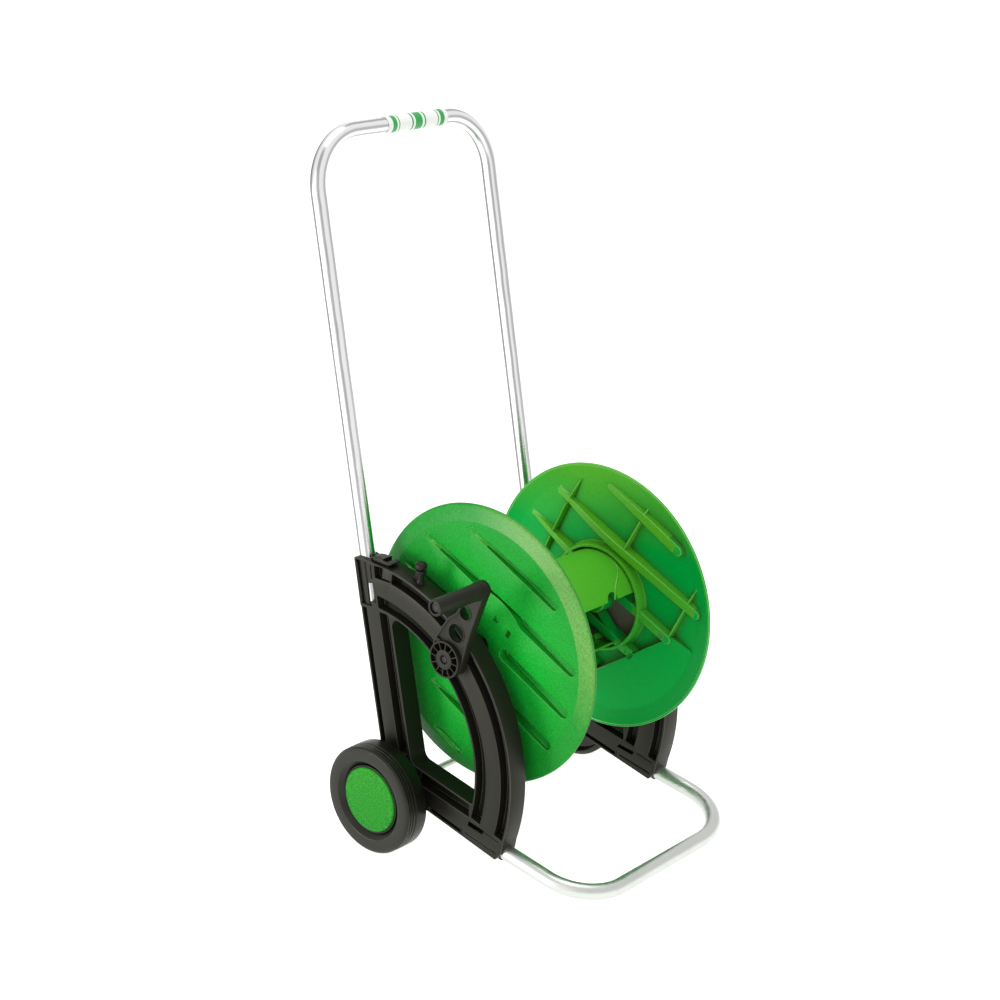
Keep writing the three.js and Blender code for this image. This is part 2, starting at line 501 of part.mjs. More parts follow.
SCREWS.forEach(([y, z], i) => {
  const s = solid(barX(FLANGE_FACE + 0.3, FLANGE_FACE + 2.6, y, z, 4, 12)).add(solid(barX(FLANGE_FACE - 15, FLANGE_FACE + 1, y, z, 1.6, 8)));
  add(drum, 'core_screw_' + (i + 1), geometryOf(s), ZINC);
});

// water way: hollow spindle with an outlet elbow in the core's open sector
{
  let s = solid(barX(0, 159, 0, DRUM_Z, 12, 24));
  const out = round(-20, 1).sub(V2(0, DRUM_Z));
  const p = (t) => V3(12, out.x * t, DRUM_Z + out.y * t);
  s = s.add(solid(bar(p(0), p(38), 8, 16)));
  // thrust flange between the far disc and the frame
  s = s.add(solid(barX(118.2, 120.7, 0, DRUM_Z, 66, 40)));
  s = s.subtract(solid(barX(6, 160, 0, DRUM_Z, 8, 16)));
  s = s.subtract(solid(bar(p(4), p(40), 5.5, 12)));
  add(drum, 'water_spindle', geometryOf(s), BLACK);
  const nut = solid(bar(p(25), p(36), 13, 6)).subtract(solid(bar(p(24), p(37), 8.3, 16)));
  add(drum, 'outlet_nut', geometryOf(nut), BLACK);
}

// crank: ribbed hub cup, tapered arm with two round holes, shaft to the near disc
const GRIP_Y = -CRANK_LEN * Math.sin(CRANK_TILT), GRIP_Z = DRUM_Z + CRANK_LEN * Math.cos(CRANK_TILT);
{
  const armOutline = [
    V2(20, 286), V2(21, 262), V2(12, 248), V2(-9, 245.5), V2(-20, 254), V2(-25.5, 268), V2(-31, 286), V2(-38.6, 307.5), V2(-46.5, 326.5), V2(-54.5, 347),
    ...arc(GRIP_Y, GRIP_Z, 10.9, 186, 34, 9), V2(-16, 326.5), V2(-4, 318), V2(6, 305),
  ];
  let s = solid(slab(armOutline, -172, -161));
  s = s.add(solid(barX(-176, -161, 0, DRUM_Z, 22.5, 28)));
  // ribbed ring in the hub's face
  const cup = solid(barX(-177, -168, 0, DRUM_Z, 20, 24)).subtract(solid(barX(-178, -167, 0, DRUM_Z, 12.8, 16)));
  let ribs = null;
  for (let k = 0; k < 12; k++) {
    const b = new THREE.BoxGeometry(8, 1.2, 9);
    b.translate(-172, 0, 16.4);
    b.rotateX(k * Math.PI / 6);
    b.translate(0, 0, DRUM_Z);
    ribs = ribs ? ribs.add(solid(b)) : solid(b);
  }
  s = s.subtract(cup.subtract(ribs));
  s = s.subtract(solid(barX(-173, -160, -15.5, 301, 11.2, 16)));
  s = s.subtract(solid(barX(-173, -160, -29.5, 328.5, 8, 12)));
  // shaft: round in the bush, square in the disc
  s = s.add(solid(barX(-162, -118, 0, DRUM_Z, 12.5, 24)));
  s = s.add(solid(boxAt(-119, -96, -9, 9, DRUM_Z - 9, DRUM_Z + 9)));
  s = s.subtract(solid(barX(-177, -173.4, 0, DRUM_Z, 5.5, 16)));
  s = s.subtract(solid(barX(-174, -150, 0, DRUM_Z, 2.3, 10)));
  s = s.subtract(solid(barX(-173, -163.5, GRIP_Y, GRIP_Z, 4.3, 12)));
  add(drum, 'crank_arm', geometryOf(s), BLACK);
  add(drum, 'crank_screw', geometryOf(solid(barX(-175.6, -173.7, 0, DRUM_Z, 4.6, 12)).add(solid(barX(-174, -151, 0, DRUM_Z, 2, 8)))), ZINC);
}
// hand grip on its pin
{
  const a = -172.4, b = -243;
  const g = latheX([
    [a, 4.3], [a, 11.5], [a - 5, 10.6], [a - 12, 10], [b + 2, 10], [b, 8.6], [b, 7], [b + 4, 7], [b + 4, 4.3],
  ], 18, GRIP_Y, GRIP_Z);
  add(drum, 'crank_grip', g, BLACK);
  add(drum, 'grip_pin', latheX([[-163.8, 0], [-163.8, 4], [b + 3.7, 4], [b + 3.7, 6.4], [b + 1.6, 6.4], [b + 1.6, 0]], 12, GRIP_Y, GRIP_Z), ZINC);
}

// ------------------------------------------------------------------- bearings
add(cart, 'drum_bush_left', latheX([[-FRAME_OUT, 12.8], [-131.2, 12.8], [-131.2, 20], [-132.9, 20], [-132.9, 17], [-FRAME_OUT, 17]], 24), NYLON);
add(cart, 'drum_bush_right', latheX([[FRAME_OUT, 12.3], [131.2, 12.3], [131.2, 20], [132.9, 20], [132.9, 17], [FRAME_OUT, 17]], 24), NYLON);

// water inlet on the outside of the right frame
{
  const f = FRAME_OUT;
  add(cart, 'inlet_fitting', latheX([
    [f - 22, 5], [f + 34, 5], [f + 34, 8.6], [f + 24, 9.4], [f + 24, 12.4], [f + 22, 12.4], [f + 22, 9.4], [f + 10, 9.4], [f + 10, 16],
    [f + 6.4, 16], [f + 6.4, 13], [f + 4.2, 13], [f + 4.2, 16], [f + 0.4, 16], [f + 0.4, 7.6], [f - 10, 7.6], [f - 10, 6.3], [f - 12.6, 6.3],
    [f - 12.6, 7.6], [f - 22, 7.6],
  ], 16), DARK);
  add(cart, 'inlet_oring', latheX([[f - 10.2, 6.6], [f - 10.2, 7.3], [f - 11.3, 7.75], [f - 12.4, 7.3], [f - 12.4, 6.6]], 16), RUBBER);
  const fork = [];
  fork.push(V2(22, DRUM_Z + 22), V2(-22, DRUM_Z + 22), V2(-22, DRUM_Z - 14), V2(-13.6, DRUM_Z - 14));
  fork.push(...arc(0, DRUM_Z, 13.6, 180, 0, 8));
  fork.push(V2(13.6, DRUM_Z - 14), V2(22, DRUM_Z - 14));
  add(cart, 'inlet_clip', slab(fork, f + 4.5, f + 6.1), NYLON);
}

export default group;
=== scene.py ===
"""Looks of the garden hose reel cart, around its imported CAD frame."""

import json
import math

import bmesh
import bpy
import numpy as np
from mathutils import Matrix, Vector
from mathutils.geometry import delaunay_2d_cdt


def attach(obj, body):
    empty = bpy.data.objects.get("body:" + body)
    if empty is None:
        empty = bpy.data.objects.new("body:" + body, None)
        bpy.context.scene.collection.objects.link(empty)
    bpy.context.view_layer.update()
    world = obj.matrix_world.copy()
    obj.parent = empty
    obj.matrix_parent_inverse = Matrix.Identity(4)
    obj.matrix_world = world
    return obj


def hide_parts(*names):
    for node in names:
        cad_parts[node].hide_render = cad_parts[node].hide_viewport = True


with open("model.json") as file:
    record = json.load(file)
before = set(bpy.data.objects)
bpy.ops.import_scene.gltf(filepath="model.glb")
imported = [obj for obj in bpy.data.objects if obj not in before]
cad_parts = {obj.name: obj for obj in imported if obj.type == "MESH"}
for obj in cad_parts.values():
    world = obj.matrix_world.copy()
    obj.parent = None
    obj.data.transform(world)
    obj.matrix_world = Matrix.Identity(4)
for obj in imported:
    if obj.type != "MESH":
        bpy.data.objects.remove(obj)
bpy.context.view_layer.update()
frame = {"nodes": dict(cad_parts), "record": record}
NODES = frame["nodes"]

# The pieces are drawn in millimetres on the cart's own axes: x along the drum axle,
# y to the back, z up, and set into the row frame by this shift.
SHIFT = (18.0, -17.486, 0.0)


def P(x, y, z):
    return ((x + SHIFT[0]) / 1000.0, (y + SHIFT[1]) / 1000.0, (z + SHIFT[2]) / 1000.0)


# ------------------------------------------------------------------ camera
AZ, EL = math.radians(-48.5386), math.radians(17.6913)
cam_data = bpy.data.cameras.new("camera")
cam_data.sensor_width = 36.0
cam_data.lens = 75.442
cam_data.clip_end = 50.0
cam = bpy.data.objects.new("camera", cam_data)
bpy.context.scene.collection.objects.link(cam)
right = Vector((math.cos(AZ), math.sin(AZ), 0.0))
back = Vector((math.sin(AZ) * math.cos(EL), -math.cos(AZ) * math.cos(EL), math.sin(EL)))
up = back.cross(right)
m = Matrix((
    (right.x, up.x, back.x, 0.0),
    (right.y, up.y, back.y, 0.0),
    (right.z, up.z, back.z, 0.0),
    (0.0, 0.0, 0.0, 1.0),
))
m.translation = Vector(P(-1810.6, -1530.7, 1172.7))
cam.matrix_world = m
bpy.context.scene.camera = cam
bpy.context.scene.view_settings.view_transform = "Standard"


# --------------------------------------------------------------- materials
def new_material(name):
    mat = bpy.data.materials.new(name)
    mat.use_nodes = True
    nt = mat.node_tree
    nt.nodes.clear()
    out = nt.nodes.new("ShaderNodeOutputMaterial")
    bsdf = nt.nodes.new("ShaderNodeBsdfPrincipled")
    nt.links.new(bsdf.outputs[0], out.inputs[0])
    return mat, nt, bsdf


def srgb(r, g, b):
    def lin(c):
        c /= 255.0
        return c / 12.92 if c <= 0.04045 else ((c + 0.055) / 1.055) ** 2.4
    return (lin(r), lin(g), lin(b), 1.0)


def coords(nt):
    return nt.nodes.new("ShaderNodeTexCoord").outputs["Object"]


def noise(nt, vec, scale, detail=3.0, rough=0.5):
    n = nt.nodes.new("ShaderNodeTexNoise")
    n.inputs["Scale"].default_value = scale
    n.inputs["Detail"].default_value = detail
    n.inputs["Roughness"].default_value = rough
    nt.links.new(vec, n.inputs["Vector"])
    return n.outputs["Fac"]


def ramp(nt, fac, stops):
    r = nt.nodes.new("ShaderNodeValToRGB")
    els = r.color_ramp.elements
    while len(els) > 1:
        els.remove(els[-1])
    els[0].position, els[0].color = stops[0][0], stops[0][1]
    for pos, col in stops[1:]:
        e = els.new(pos)
        e.color = col
    nt.links.new(fac, r.inputs["Fac"])
    return r.outputs["Color"]


def remap(nt, fac, a, b, c, d):
    n = nt.nodes.new("ShaderNodeMapRange")
    for k, v in zip(("From Min", "From Max", "To Min", "To Max"), (a, b, c, d)):
        n.inputs[k].default_value = v
    nt.links.new(fac, n.inputs["Value"])
    return n.outputs["Result"]


def bump(nt, height, strength, distance):
    n = nt.nodes.new("ShaderNodeBump")
    n.inputs["Strength"].default_value = strength
    n.inputs["Distance"].default_value = distance
    nt.links.new(height, n.inputs["Height"])
    return n.outputs["Normal"]


def moulded(name, dark, light, rough_lo, rough_hi, grain=900.0, grain_height=0.00012, strength=0.5, specular=0.5, tone_scale=6.0, sheen_tint=(1.0, 1.0, 1.0, 1.0)):
    """Injection-moulded plastic: slow tone drift, fine spark-eroded grain, uneven sheen."""
    mat, nt, bsdf = new_material(name)
    vec = coords(nt)
    tone = noise(nt, vec, tone_scale, 2.0)
    col = ramp(nt, tone, [(0.35, dark), (0.65, light)])
    nt.links.new(col, bsdf.inputs["Base Color"])
    nt.links.new(remap(nt, noise(nt, vec, 35.0, 3.0), 0.3, 0.7, rough_lo, rough_hi), bsdf.inputs["Roughness"])
    nt.links.new(bump(nt, noise(nt, vec, grain, 2.0), strength, grain_height), bsdf.inputs["Normal"])
    bsdf.inputs["Specular IOR Level"].default_value = specular
    bsdf.inputs["Specular Tint"].default_value = sheen_tint
    return mat


def shaded_green(name, cool, warm, axis, lo, hi, grain_amount, rough_lo=0.34, rough_hi=0.46, specular=0.35, speck=620.0, bump_height=0.00016, corner=None, corner_shade_amount=0.8, corner_shade_reach=0.011):
    """Green moulded plastic: a painted light-and-shade change of tint along one axis, optional painted shade in inner
    corners, and a fine speckled grain.
    """
    mat, nt, bsdf = new_material(name)
    vec = coords(nt)
    sep = nt.nodes.new("ShaderNodeSeparateXYZ")
    nt.links.new(vec, sep.inputs[0])
    slow = remap(nt, noise(nt, vec, 9.0, 3.0), 0.25, 0.75, -0.14, 0.14)
    if axis == "radial":
        # from the drum's axis outwards
        flat = nt.nodes.new("ShaderNodeVectorMath")
        flat.operation = "MULTIPLY"
        nt.links.new(vec, flat.inputs[0])
        flat.inputs[1].default_value = (0.0, 1.0, 1.0)
        away = nt.nodes.new("ShaderNodeVectorMath")
        away.operation = "DISTANCE"
        nt.links.new(flat.outputs["Vector"], away.inputs[0])
        away.inputs[1].default_value = (0.0, -0.0175, 0.2657)
        along = remap(nt, away.outputs["Value"], lo, hi, 0.0, 1.0)
    elif isinstance(axis, tuple):
        lean = nt.nodes.new("ShaderNodeVectorMath")
        lean.operation = "DOT_PRODUCT"
        nt.links.new(vec, lean.inputs[0])
        lean.inputs[1].default_value = axis
        along = remap(nt, lean.outputs["Value"], lo, hi, 0.0, 1.0)
    else:
        along = remap(nt, sep.outputs[axis], lo, hi, 0.0, 1.0)
    add = nt.nodes.new("ShaderNodeMath")
    add.operation = "ADD"
    nt.links.new(slow, add.inputs[0])
    nt.links.new(along, add.inputs[1])
    col = ramp(nt, add.outputs[0], [(0.0, cool), (1.0, warm)])
    # speckle: the grain catches the light as small lighter and darker dots
    dots = noise(nt, vec, speck, 2.0, 0.65)
    mix = nt.nodes.new("ShaderNodeMix")
    mix.data_type = "RGBA"
    mix.blend_type = "OVERLAY"
    mix.inputs["Factor"].default_value = grain_amount
    nt.links.new(col, mix.inputs["A"])
    nt.links.new(ramp(nt, dots, [(0.36, (0.22, 0.22, 0.22, 1.0)), (0.64, (0.78, 0.78, 0.78, 1.0))]), mix.inputs["B"])
    result = mix.outputs["Result"]
    if corner is not None:
        # painted shade: in inner corners (ambient occlusion) the base colour is pulled towards the corner colour, where
        # shade falls
        ao = nt.nodes.new("ShaderNodeAmbientOcclusion")
        ao.samples = 6
        ao.inputs["Distance"].default_value = corner_shade_reach
        low = nt.nodes.new("ShaderNodeMix")
        low.data_type = "RGBA"
        low.blend_type = "MIX"
        nt.links.new(remap(nt, ao.outputs["AO"], 0.30, 0.88, corner_shade_amount, 0.0), low.inputs["Factor"])
        nt.links.new(result, low.inputs["A"])
        low.inputs["B"].default_value = corner
        result = low.outputs["Result"]
    nt.links.new(result, bsdf.inputs["Base Color"])
    nt.links.new(remap(nt, dots, 0.3, 0.7, rough_lo, rough_hi), bsdf.inputs["Roughness"])
    nt.links.new(bump(nt, dots, 0.55, bump_height), bsdf.inputs["Normal"])
    bsdf.inputs["Specular IOR Level"].default_value = specular
    return mat


BLACK = moulded("black_plastic_look", (0.0080, 0.0076, 0.0056, 1.0), (0.0115, 0.0108, 0.0080, 1.0), 0.34, 0.46, specular=0.22, grain=1300.0, sheen_tint=(0.98, 1.0, 0.84, 1.0))
# painted highlight: a lighter, glossier green for rounded edges, lighter still towards the top
GREEN_EDGE_HIGHLIGHT = shaded_green("green_edge_highlight_look", (0.040, 0.380, 0.022, 1.0), (0.085, 0.420, 0.026, 1.0), 2, 0.18, 0.36, 0.2, 0.26, 0.34, specular=0.8)
# painted light: the far disc's raised ridges take a warmer, lighter green than its floor, warmest towards the top
GREEN_RIDGE_LIT = shaded_green("green_ridge_lit_look", (0.020, 0.330, 0.030, 1.0), (0.078, 0.370, 0.014, 1.0), 2, 0.20, 0.34, 0.2, specular=0.15)
# painted highlight: a lighter, glossier black for the frames' thin rounded edges
BLACK_EDGE_HIGHLIGHT = moulded("black_edge_highlight_look", (0.014, 0.0135, 0.0105, 1.0), (0.020, 0.019, 0.015, 1.0), 0.26, 0.34, specular=0.75, grain=1300.0, sheen_tint=(0.98, 1.0, 0.88, 1.0))
# painted shade: a darker black for sunk channel floors and hub pockets, also rougher and less glossy
BLACK_RECESS_SHADE = moulded("black_recess_shade_look", (0.0050, 0.0048, 0.0036, 1.0), (0.0080, 0.0076, 0.0058, 1.0), 0.48, 0.60, specular=0.14, grain=1300.0, sheen_tint=(0.98, 1.0, 0.80, 1.0))
SPINDLE = moulded("spindle_plastic_look", (0.130, 0.118, 0.090, 1.0), (0.160, 0.146, 0.112, 1.0), 0.42, 0.55, specular=0.45)
WHEEL = moulded("black_wheel_look", (0.0045, 0.0044, 0.0034, 1.0), (0.0070, 0.0068, 0.0054, 1.0), 0.27, 0.36, grain=900.0, specular=0.34, sheen_tint=(0.96, 1.0, 0.86, 1.0))
DARK = moulded("dark_plastic_look", (0.006, 0.006, 0.0055, 1.0), (0.010, 0.0095, 0.009, 1.0), 0.4, 0.55)
# painted light and shade: lighter green near the drum's axis, where the arch and crank cast shadow, darker towards the
# rim, where more light falls; painted shade in the inner corners
GREEN = shaded_green("green_plastic_painted_light_look", (0.005, 0.352, 0.027, 1.0), (0.006, 0.248, 0.020, 1.0), "radial", 0.065, 0.150, 0.40, specular=0.11, speck=520.0, corner=(0.004, 0.09, 0.008, 1.0), corner_shade_amount=0.8, corner_shade_reach=0.008)
# painted sheen: the outer bevel turns paler towards the top and front, where the side light's sheen falls
GREEN_RIM_SHEEN = shaded_green("green_rim_sheen_look", (0.003, 0.228, 0.016, 1.0), (0.104, 0.304, 0.054, 1.0), (0.0, -1.0, 0.7), 0.300, 0.385, 0.36, 0.34, 0.42, specular=0.20, speck=480.0)
# painted light and shade: the far disc's green is warmer and a little lighter towards the top, where light falls,
# cooler below; olive-brown painted shade in the inner corners
GREEN_FAR_LIT_SHADED = shaded_green("green_far_lit_and_shaded_look", (0.000, 0.335, 0.048, 1.0), (0.072, 0.36, 0.016, 1.0), 2, 0.34, 0.43, 0.16, specular=0.06, corner=(0.055, 0.062, 0.012, 1.0), corner_shade_amount=0.85, corner_shade_reach=0.013)
# painted light: the core's green turns warmer and lighter towards the top
GREEN_CORE = shaded_green("green_plastic_core_look", (0.055, 0.40, 0.024, 1.0), (0.074, 0.42, 0.020, 1.0), 2, 0.21, 0.31, 0.14, specular=0.20)
# painted light: the hub caps' green is a little lighter towards the top
CAP = shaded_green("green_cap_look", (0.007, 0.198, 0.008, 1.0), (0.013, 0.218, 0.010, 1.0), 2, 0.04, 0.10, 0.80, specular=0.13, speck=600.0, bump_height=0.0003)
NYLON = moulded("white_nylon_look", srgb(225, 221, 210), srgb(236, 233, 224), 0.4, 0.5)
RUBBER = moulded("rubber_look", srgb(22, 22, 22), srgb(30, 30, 30), 0.6, 0.75)


def metal(name, base, rough_lo, rough_hi, streak=(1.0, 1.0, 1.0), height=0.00004):
    mat, nt, bsdf = new_material(name)
    vec = coords(nt)
    tone = noise(nt, vec, 14.0, 4.0)
    b = np.array(base[:3])
    col = ramp(nt, tone, [(0.3, tuple(b * 0.96) + (1.0,)), (0.7, tuple(np.minimum(b * 1.03, 1.0)) + (1.0,))])
    nt.links.new(col, bsdf.inputs["Base Color"])
    bsdf.inputs["Metallic"].default_value = 1.0
    nt.links.new(remap(nt, noise(nt, vec, 120.0, 4.0), 0.3, 0.7, rough_lo, rough_hi), bsdf.inputs["Roughness"])
    nt.links.new(bump(nt, noise(nt, vec, 900.0, 2.0), 0.25, height), bsdf.inputs["Normal"])
    return mat


def steel_with_painted_reflections(name):
    """Bright plated tube: mirror-like, with painted reflections: darker bands at set turns round the tube, along its
    length.
    """
    mat, nt, bsdf = new_material(name)
    turn = nt.nodes.new("ShaderNodeAttribute")
    turn.attribute_name = "turn"
    bright = (0.93, 0.94, 0.96, 1.0)
    stops = []
    # painted reflections: (turn in degrees, half width, tone) of darker bands standing in for dark surroundings seen in
    # the tube
    for at_, half, tone in ((8, 14, 0.55), (62, 38, 0.16), (131, 15, 0.42), (186, 18, 0.52), (228, 14, 0.44), (298, 38, 0.18)):
        reflection_dark = (tone, tone * 1.02, tone * 1.05, 1.0)
        stops += [((at_ - half) / 360.0, bright), ((at_ - half * 0.35) / 360.0, reflection_dark), ((at_ + half * 0.35) / 360.0, reflection_dark), ((at_ + half) / 360.0, bright)]
    fine = noise(nt, coords(nt), 30.0, 3.0)
    shift = nt.nodes.new("ShaderNodeMath")
    shift.operation = "ADD"
    nt.links.new(turn.outputs["Fac"], shift.inputs[0])
    nt.links.new(remap(nt, fine, 0.3, 0.7, -0.006, 0.006), shift.inputs[1])
    nt.links.new(ramp(nt, shift.outputs[0], stops), bsdf.inputs["Base Color"])
    bsdf.inputs["Metallic"].default_value = 1.0
    nt.links.new(remap(nt, fine, 0.3, 0.7, 0.20, 0.28), bsdf.inputs["Roughness"])
    return mat


STEEL = steel_with_painted_reflections("bright_steel_look")
ZINC = metal("zinc_steel_look", srgb(190, 190, 186), 0.3, 0.45)
DULL_STEEL = metal("dull_steel_look", srgb(208, 212, 209), 0.30, 0.42)

BLACKENED = metal("blackened_steel_look", srgb(62, 60, 58), 0.4, 0.55)
SLEEVE = moulded("white_sleeve_look", srgb(214, 217, 216), srgb(224, 227, 226), 0.22, 0.32, grain=500.0, grain_height=0.00003, strength=0.3)
SLEEVE_GREEN = moulded("green_print_look", srgb(28, 140, 60), srgb(34, 152, 66), 0.24, 0.34, grain=500.0, grain_height=0.00003, strength=0.3)

SLOT_LOOK = {
    "black_plastic": BLACK, "black_wheel": WHEEL, "dark_plastic": DARK, "green_plastic": GREEN,
    "green_cap": CAP, "bright_steel": STEEL, "zinc_steel": ZINC, "white_nylon": NYLON,
    "black_rubber": RUBBER, "white_sleeve": SLEEVE, "black_steel": BLACKENED,
}
SLOT_OF = {s["node"]: s["material_slot"] for s in frame["record"]["subparts"]}


# --------------------------------------------------------------- mesh tools
class Build:
    """Vertices in millimetres on the cart's axes, and faces."""

    def __init__(self):
        self.v, self.f, self.m = [], [], []
        self.slot = 0

    def ring(self, pts):
        i = len(self.v)
        self.v.extend([tuple(map(float, p)) for p in pts])
        return list(range(i, i + len(pts)))

    def face(self, ids):
        self.f.append(tuple(ids))
        self.m.append(self.slot)

    def bridge(self, a, b, closed=True):
        n = len(a)
        for i in range(n if closed else n - 1):
            j = (i + 1) % n
            self.face((a[i], a[j], b[j], b[i]))

    def fill(self, outer, holes, axes=(1, 2)):
        """Flat face between an outer ring and hole rings, on the two given axes."""
        rings = [outer] + list(holes)
        ids = [i for r in rings for i in r]
        co = [Vector((self.v[i][axes[0]], self.v[i][axes[1]])) for i in ids]
        edges, at = [], 0
        for r in rings:
            n = len(r)
            edges += [(at + k, at + (k + 1) % n) for k in range(n)]
            at += n
        vs, _, fs, orig, _, _ = delaunay_2d_cdt(co, edges, [], 0, 1e-7)
        const = [c for k, c in enumerate(self.v[outer[0]]) if k not in axes]
        left = [k for k in range(3) if k not in axes][0]
        new = []
        for v, o in zip(vs, orig):
            if o:
                new.append(ids[o[0]])
            else:
                p = [0.0, 0.0, 0.0]
                p[axes[0]], p[axes[1]], p[left] = v.x, v.y, const[0]
                self.v.append(tuple(p))
                new.append(len(self.v) - 1)
        tri = np.array([list(f) for f in fs])
        pts = np.array([(v.x, v.y) for v in vs])
        cen = pts[tri].mean(axis=1)
        keep = inside(cen, np.array([co[k] for k in range(len(outer))]))
        at = len(outer)
        for r in holes:
            keep &= ~inside(cen, np.array([co[k] for k in range(at, at + len(r))]))
            at += len(r)
        for t in tri[keep]:
            a = [new[k] for k in t]
            if len(set(a)) == 3:
                self.face(a)

    def add(self, other):
        i = len(self.v)
        self.v.extend(other.v)
        self.f.extend([tuple(k + i for k in f) for f in other.f])
        self.m.extend(other.m)
        return self

    def moved(self, fn):
        self.v = [fn(*p) for p in self.v]
        return self

    def mirrored(self):
        b = Build()
        b.v = [(-x, y, z) for x, y, z in self.v]
        b.f = [tuple(reversed(f)) for f in self.f]
        b.m = list(self.m)
        return b

    def object(self, name, mats, angle=32.0):
        me = bpy.data.meshes.new(name)
        me.from_pydata([P(*p) for p in self.v], [], self.f)
        bm = bmesh.new()
        bm.from_mesh(me)
        for f, k in zip(bm.faces, self.m):
            f.material_index = k
        bmesh.ops.remove_doubles(bm, verts=bm.verts, dist=1e-6)
        bmesh.ops.recalc_face_normals(bm, faces=bm.faces)
        bm.to_mesh(me)
        bm.free()
        me.shade_smooth()
        me.set_sharp_from_angle(angle=math.radians(angle))
        for mat in (mats if isinstance(mats, (list, tuple)) else [mats]):
            me.materials.append(mat)
        ob = bpy.data.objects.new(name, me)
        bpy.context.scene.collection.objects.link(ob)
        return ob


def inside(points, poly):
    x, y = points[:, 0], points[:, 1]
    ok = np.zeros(len(points), bool)
    n = len(poly)
    j = n - 1
    for i in range(n):
        xi, yi = poly[i]
        xj, yj = poly[j]
        cross = ((yi > y) != (yj > y))
        with np.errstate(divide="ignore", invalid="ignore"):
            xs = (xj - xi) * (y - yi) / (yj - yi + 1e-300) + xi
        ok ^= cross & (x < xs)
        j = i
    return ok


def ccw(loop):
    p = np.array(loop, float)
    a = np.sum(p[:, 0] * np.roll(p[:, 1], -1) - np.roll(p[:, 0], -1) * p[:, 1])
    return p if a > 0 else p[::-1].copy()


def offset(loop, d):
    """A counter-clockwise loop moved outwards by d."""
    p = np.array(loop, float)
    e = np.roll(p, -1, axis=0) - p
    e /= np.maximum(np.linalg.norm(e, axis=1), 1e-9)[:, None]
    n1 = np.stack([e[:, 1], -e[:, 0]], axis=1)
    n0 = np.roll(n1, 1, axis=0)
    dot = np.maximum((n0 * n1).sum(axis=1), -0.5)
    return p + d * (n0 + n1) / (1.0 + dot)[:, None]


def corner(prev, c, nxt, r, n=None):
    c, a, b = np.array(c, float), np.array(prev, float), np.array(nxt, float)
    u, v = a - c, b - c
    lu, lv = np.linalg.norm(u), np.linalg.norm(v)
    u, v = u / lu, v / lv
    cosang = float(np.clip(u @ v, -1, 1))
    half = math.acos(cosang) / 2
    if half > math.radians(86):
        return [tuple(c)]
    t = r / math.tan(half)
    lim = 0.49 * min(lu, lv)
    if t > lim:
        t = lim
        r = t * math.tan(half)
    bis = (u + v) / np.linalg.norm(u + v)
    cen = c + bis * (r / math.sin(half))
    s, e = c + u * t, c + v * t
    a0 = math.atan2(s[1] - cen[1], s[0] - cen[0])
    d = math.atan2(e[1] - cen[1], e[0] - cen[0]) - a0
    while d > math.pi:
        d -= 2 * math.pi
    while d < -math.pi:
        d += 2 * math.pi
    if n is None:
        n = max(3, int(abs(d) / math.radians(15)) + (2 if r > 3 else 0))
    return [(cen[0] + r * math.cos(a0 + d * k / n), cen[1] + r * math.sin(a0 + d * k / n)) for k in range(n + 1)]


def rounded(items, default=0.8):
    """A loop from corners (y, z) or (y, z, radius); radius 0 keeps the point as it is."""
    out = []
    n = len(items)
    for i, c in enumerate(items):
        r = c[2] if len(c) > 2 else default
        if r == 0:
            out.append((c[0], c[1]))
        else:
            out += corner(items[i - 1][:2], c[:2], items[(i + 1) % n][:2], r)
    return ccw(out)


def arc(cy, cz, r, a0, a1, step=2.0):
    n = max(2, int(abs(a1 - a0) / step + 0.999))
    return [(cy + r * math.cos(math.radians(a0 + (a1 - a0) * k / n)), cz + r * math.sin(math.radians(a0 + (a1 - a0) * k / n)), 0) for k in range(n + 1)]


def quarter(r, n=3, flip=False):
    """(outward, depth) pairs of a rounded edge of radius r, from the face into the wall."""
    return [(r * (1 - math.sin(k * math.pi / 2 / n)), r * (1 - math.cos(k * math.pi / 2 / n))) for k in range(n + 1)]


def sweep_loop(b, loop, profile, x0, sx, base=None):
    """Rings of a loop: each profile pair is (outward offset, depth along sx from x0)."""
    rings = []
    for d, t in profile:
        q = offset(loop, d) if abs(d) > 1e-9 else np.array(loop)
        rings.append(b.ring([(x0 + sx * t, y, z) for y, z in q]))
    for r0, r1 in zip(rings, rings[1:]):
        b.bridge(r0, r1)
    return rings[0], rings[-1]


def pocket(b, loop, x0, sx, depth, r_top=0.6, r_floor=0.7, draft=0.25, floor=True, islands=()):
    """A blind pocket from the face at x0 into the material along sx. Returns its ring in the face."""
    r_floor = min(r_floor, depth * 0.45)
    r_top = min(r_top, depth * 0.45)
    prof = quarter(r_top) + [(-draft, depth - r_floor)]
    prof += [(-draft - r_floor * (1 - math.cos(k * math.pi / 6)), depth - r_floor * (1 - math.sin(k * math.pi / 6))) for k in (1, 2, 3)]
    a, z = sweep_loop(b, loop, prof, x0, sx)
    if floor:
        b.fill(z, list(islands))
    return a


def boss(b, loop, x0, sx, height, r_top=0.6, r_foot=0.5, draft=0.2, cap=True, holes=()):
    """A raised island on the face at x0, standing out against sx. Returns its ring in the face."""
    r_top = min(r_top, height * 0.45)
    r_foot = min(r_foot, height * 0.45)
    prof = [(draft + r_foot * (1 - math.sin(k * math.pi / 6)), -r_foot * (1 - math.cos(k * math.pi / 6))) for k in (0, 1, 2, 3)]
    prof += [(-r_top * (1 - math.cos(k * math.pi / 6)), -(height - r_top * (1 - math.sin(k * math.pi / 6)))) for k in (0, 1, 2, 3)]
    a, z = sweep_loop(b, loop, prof, x0, sx)
    if cap:
        b.fill(z, list(holes))
    return a


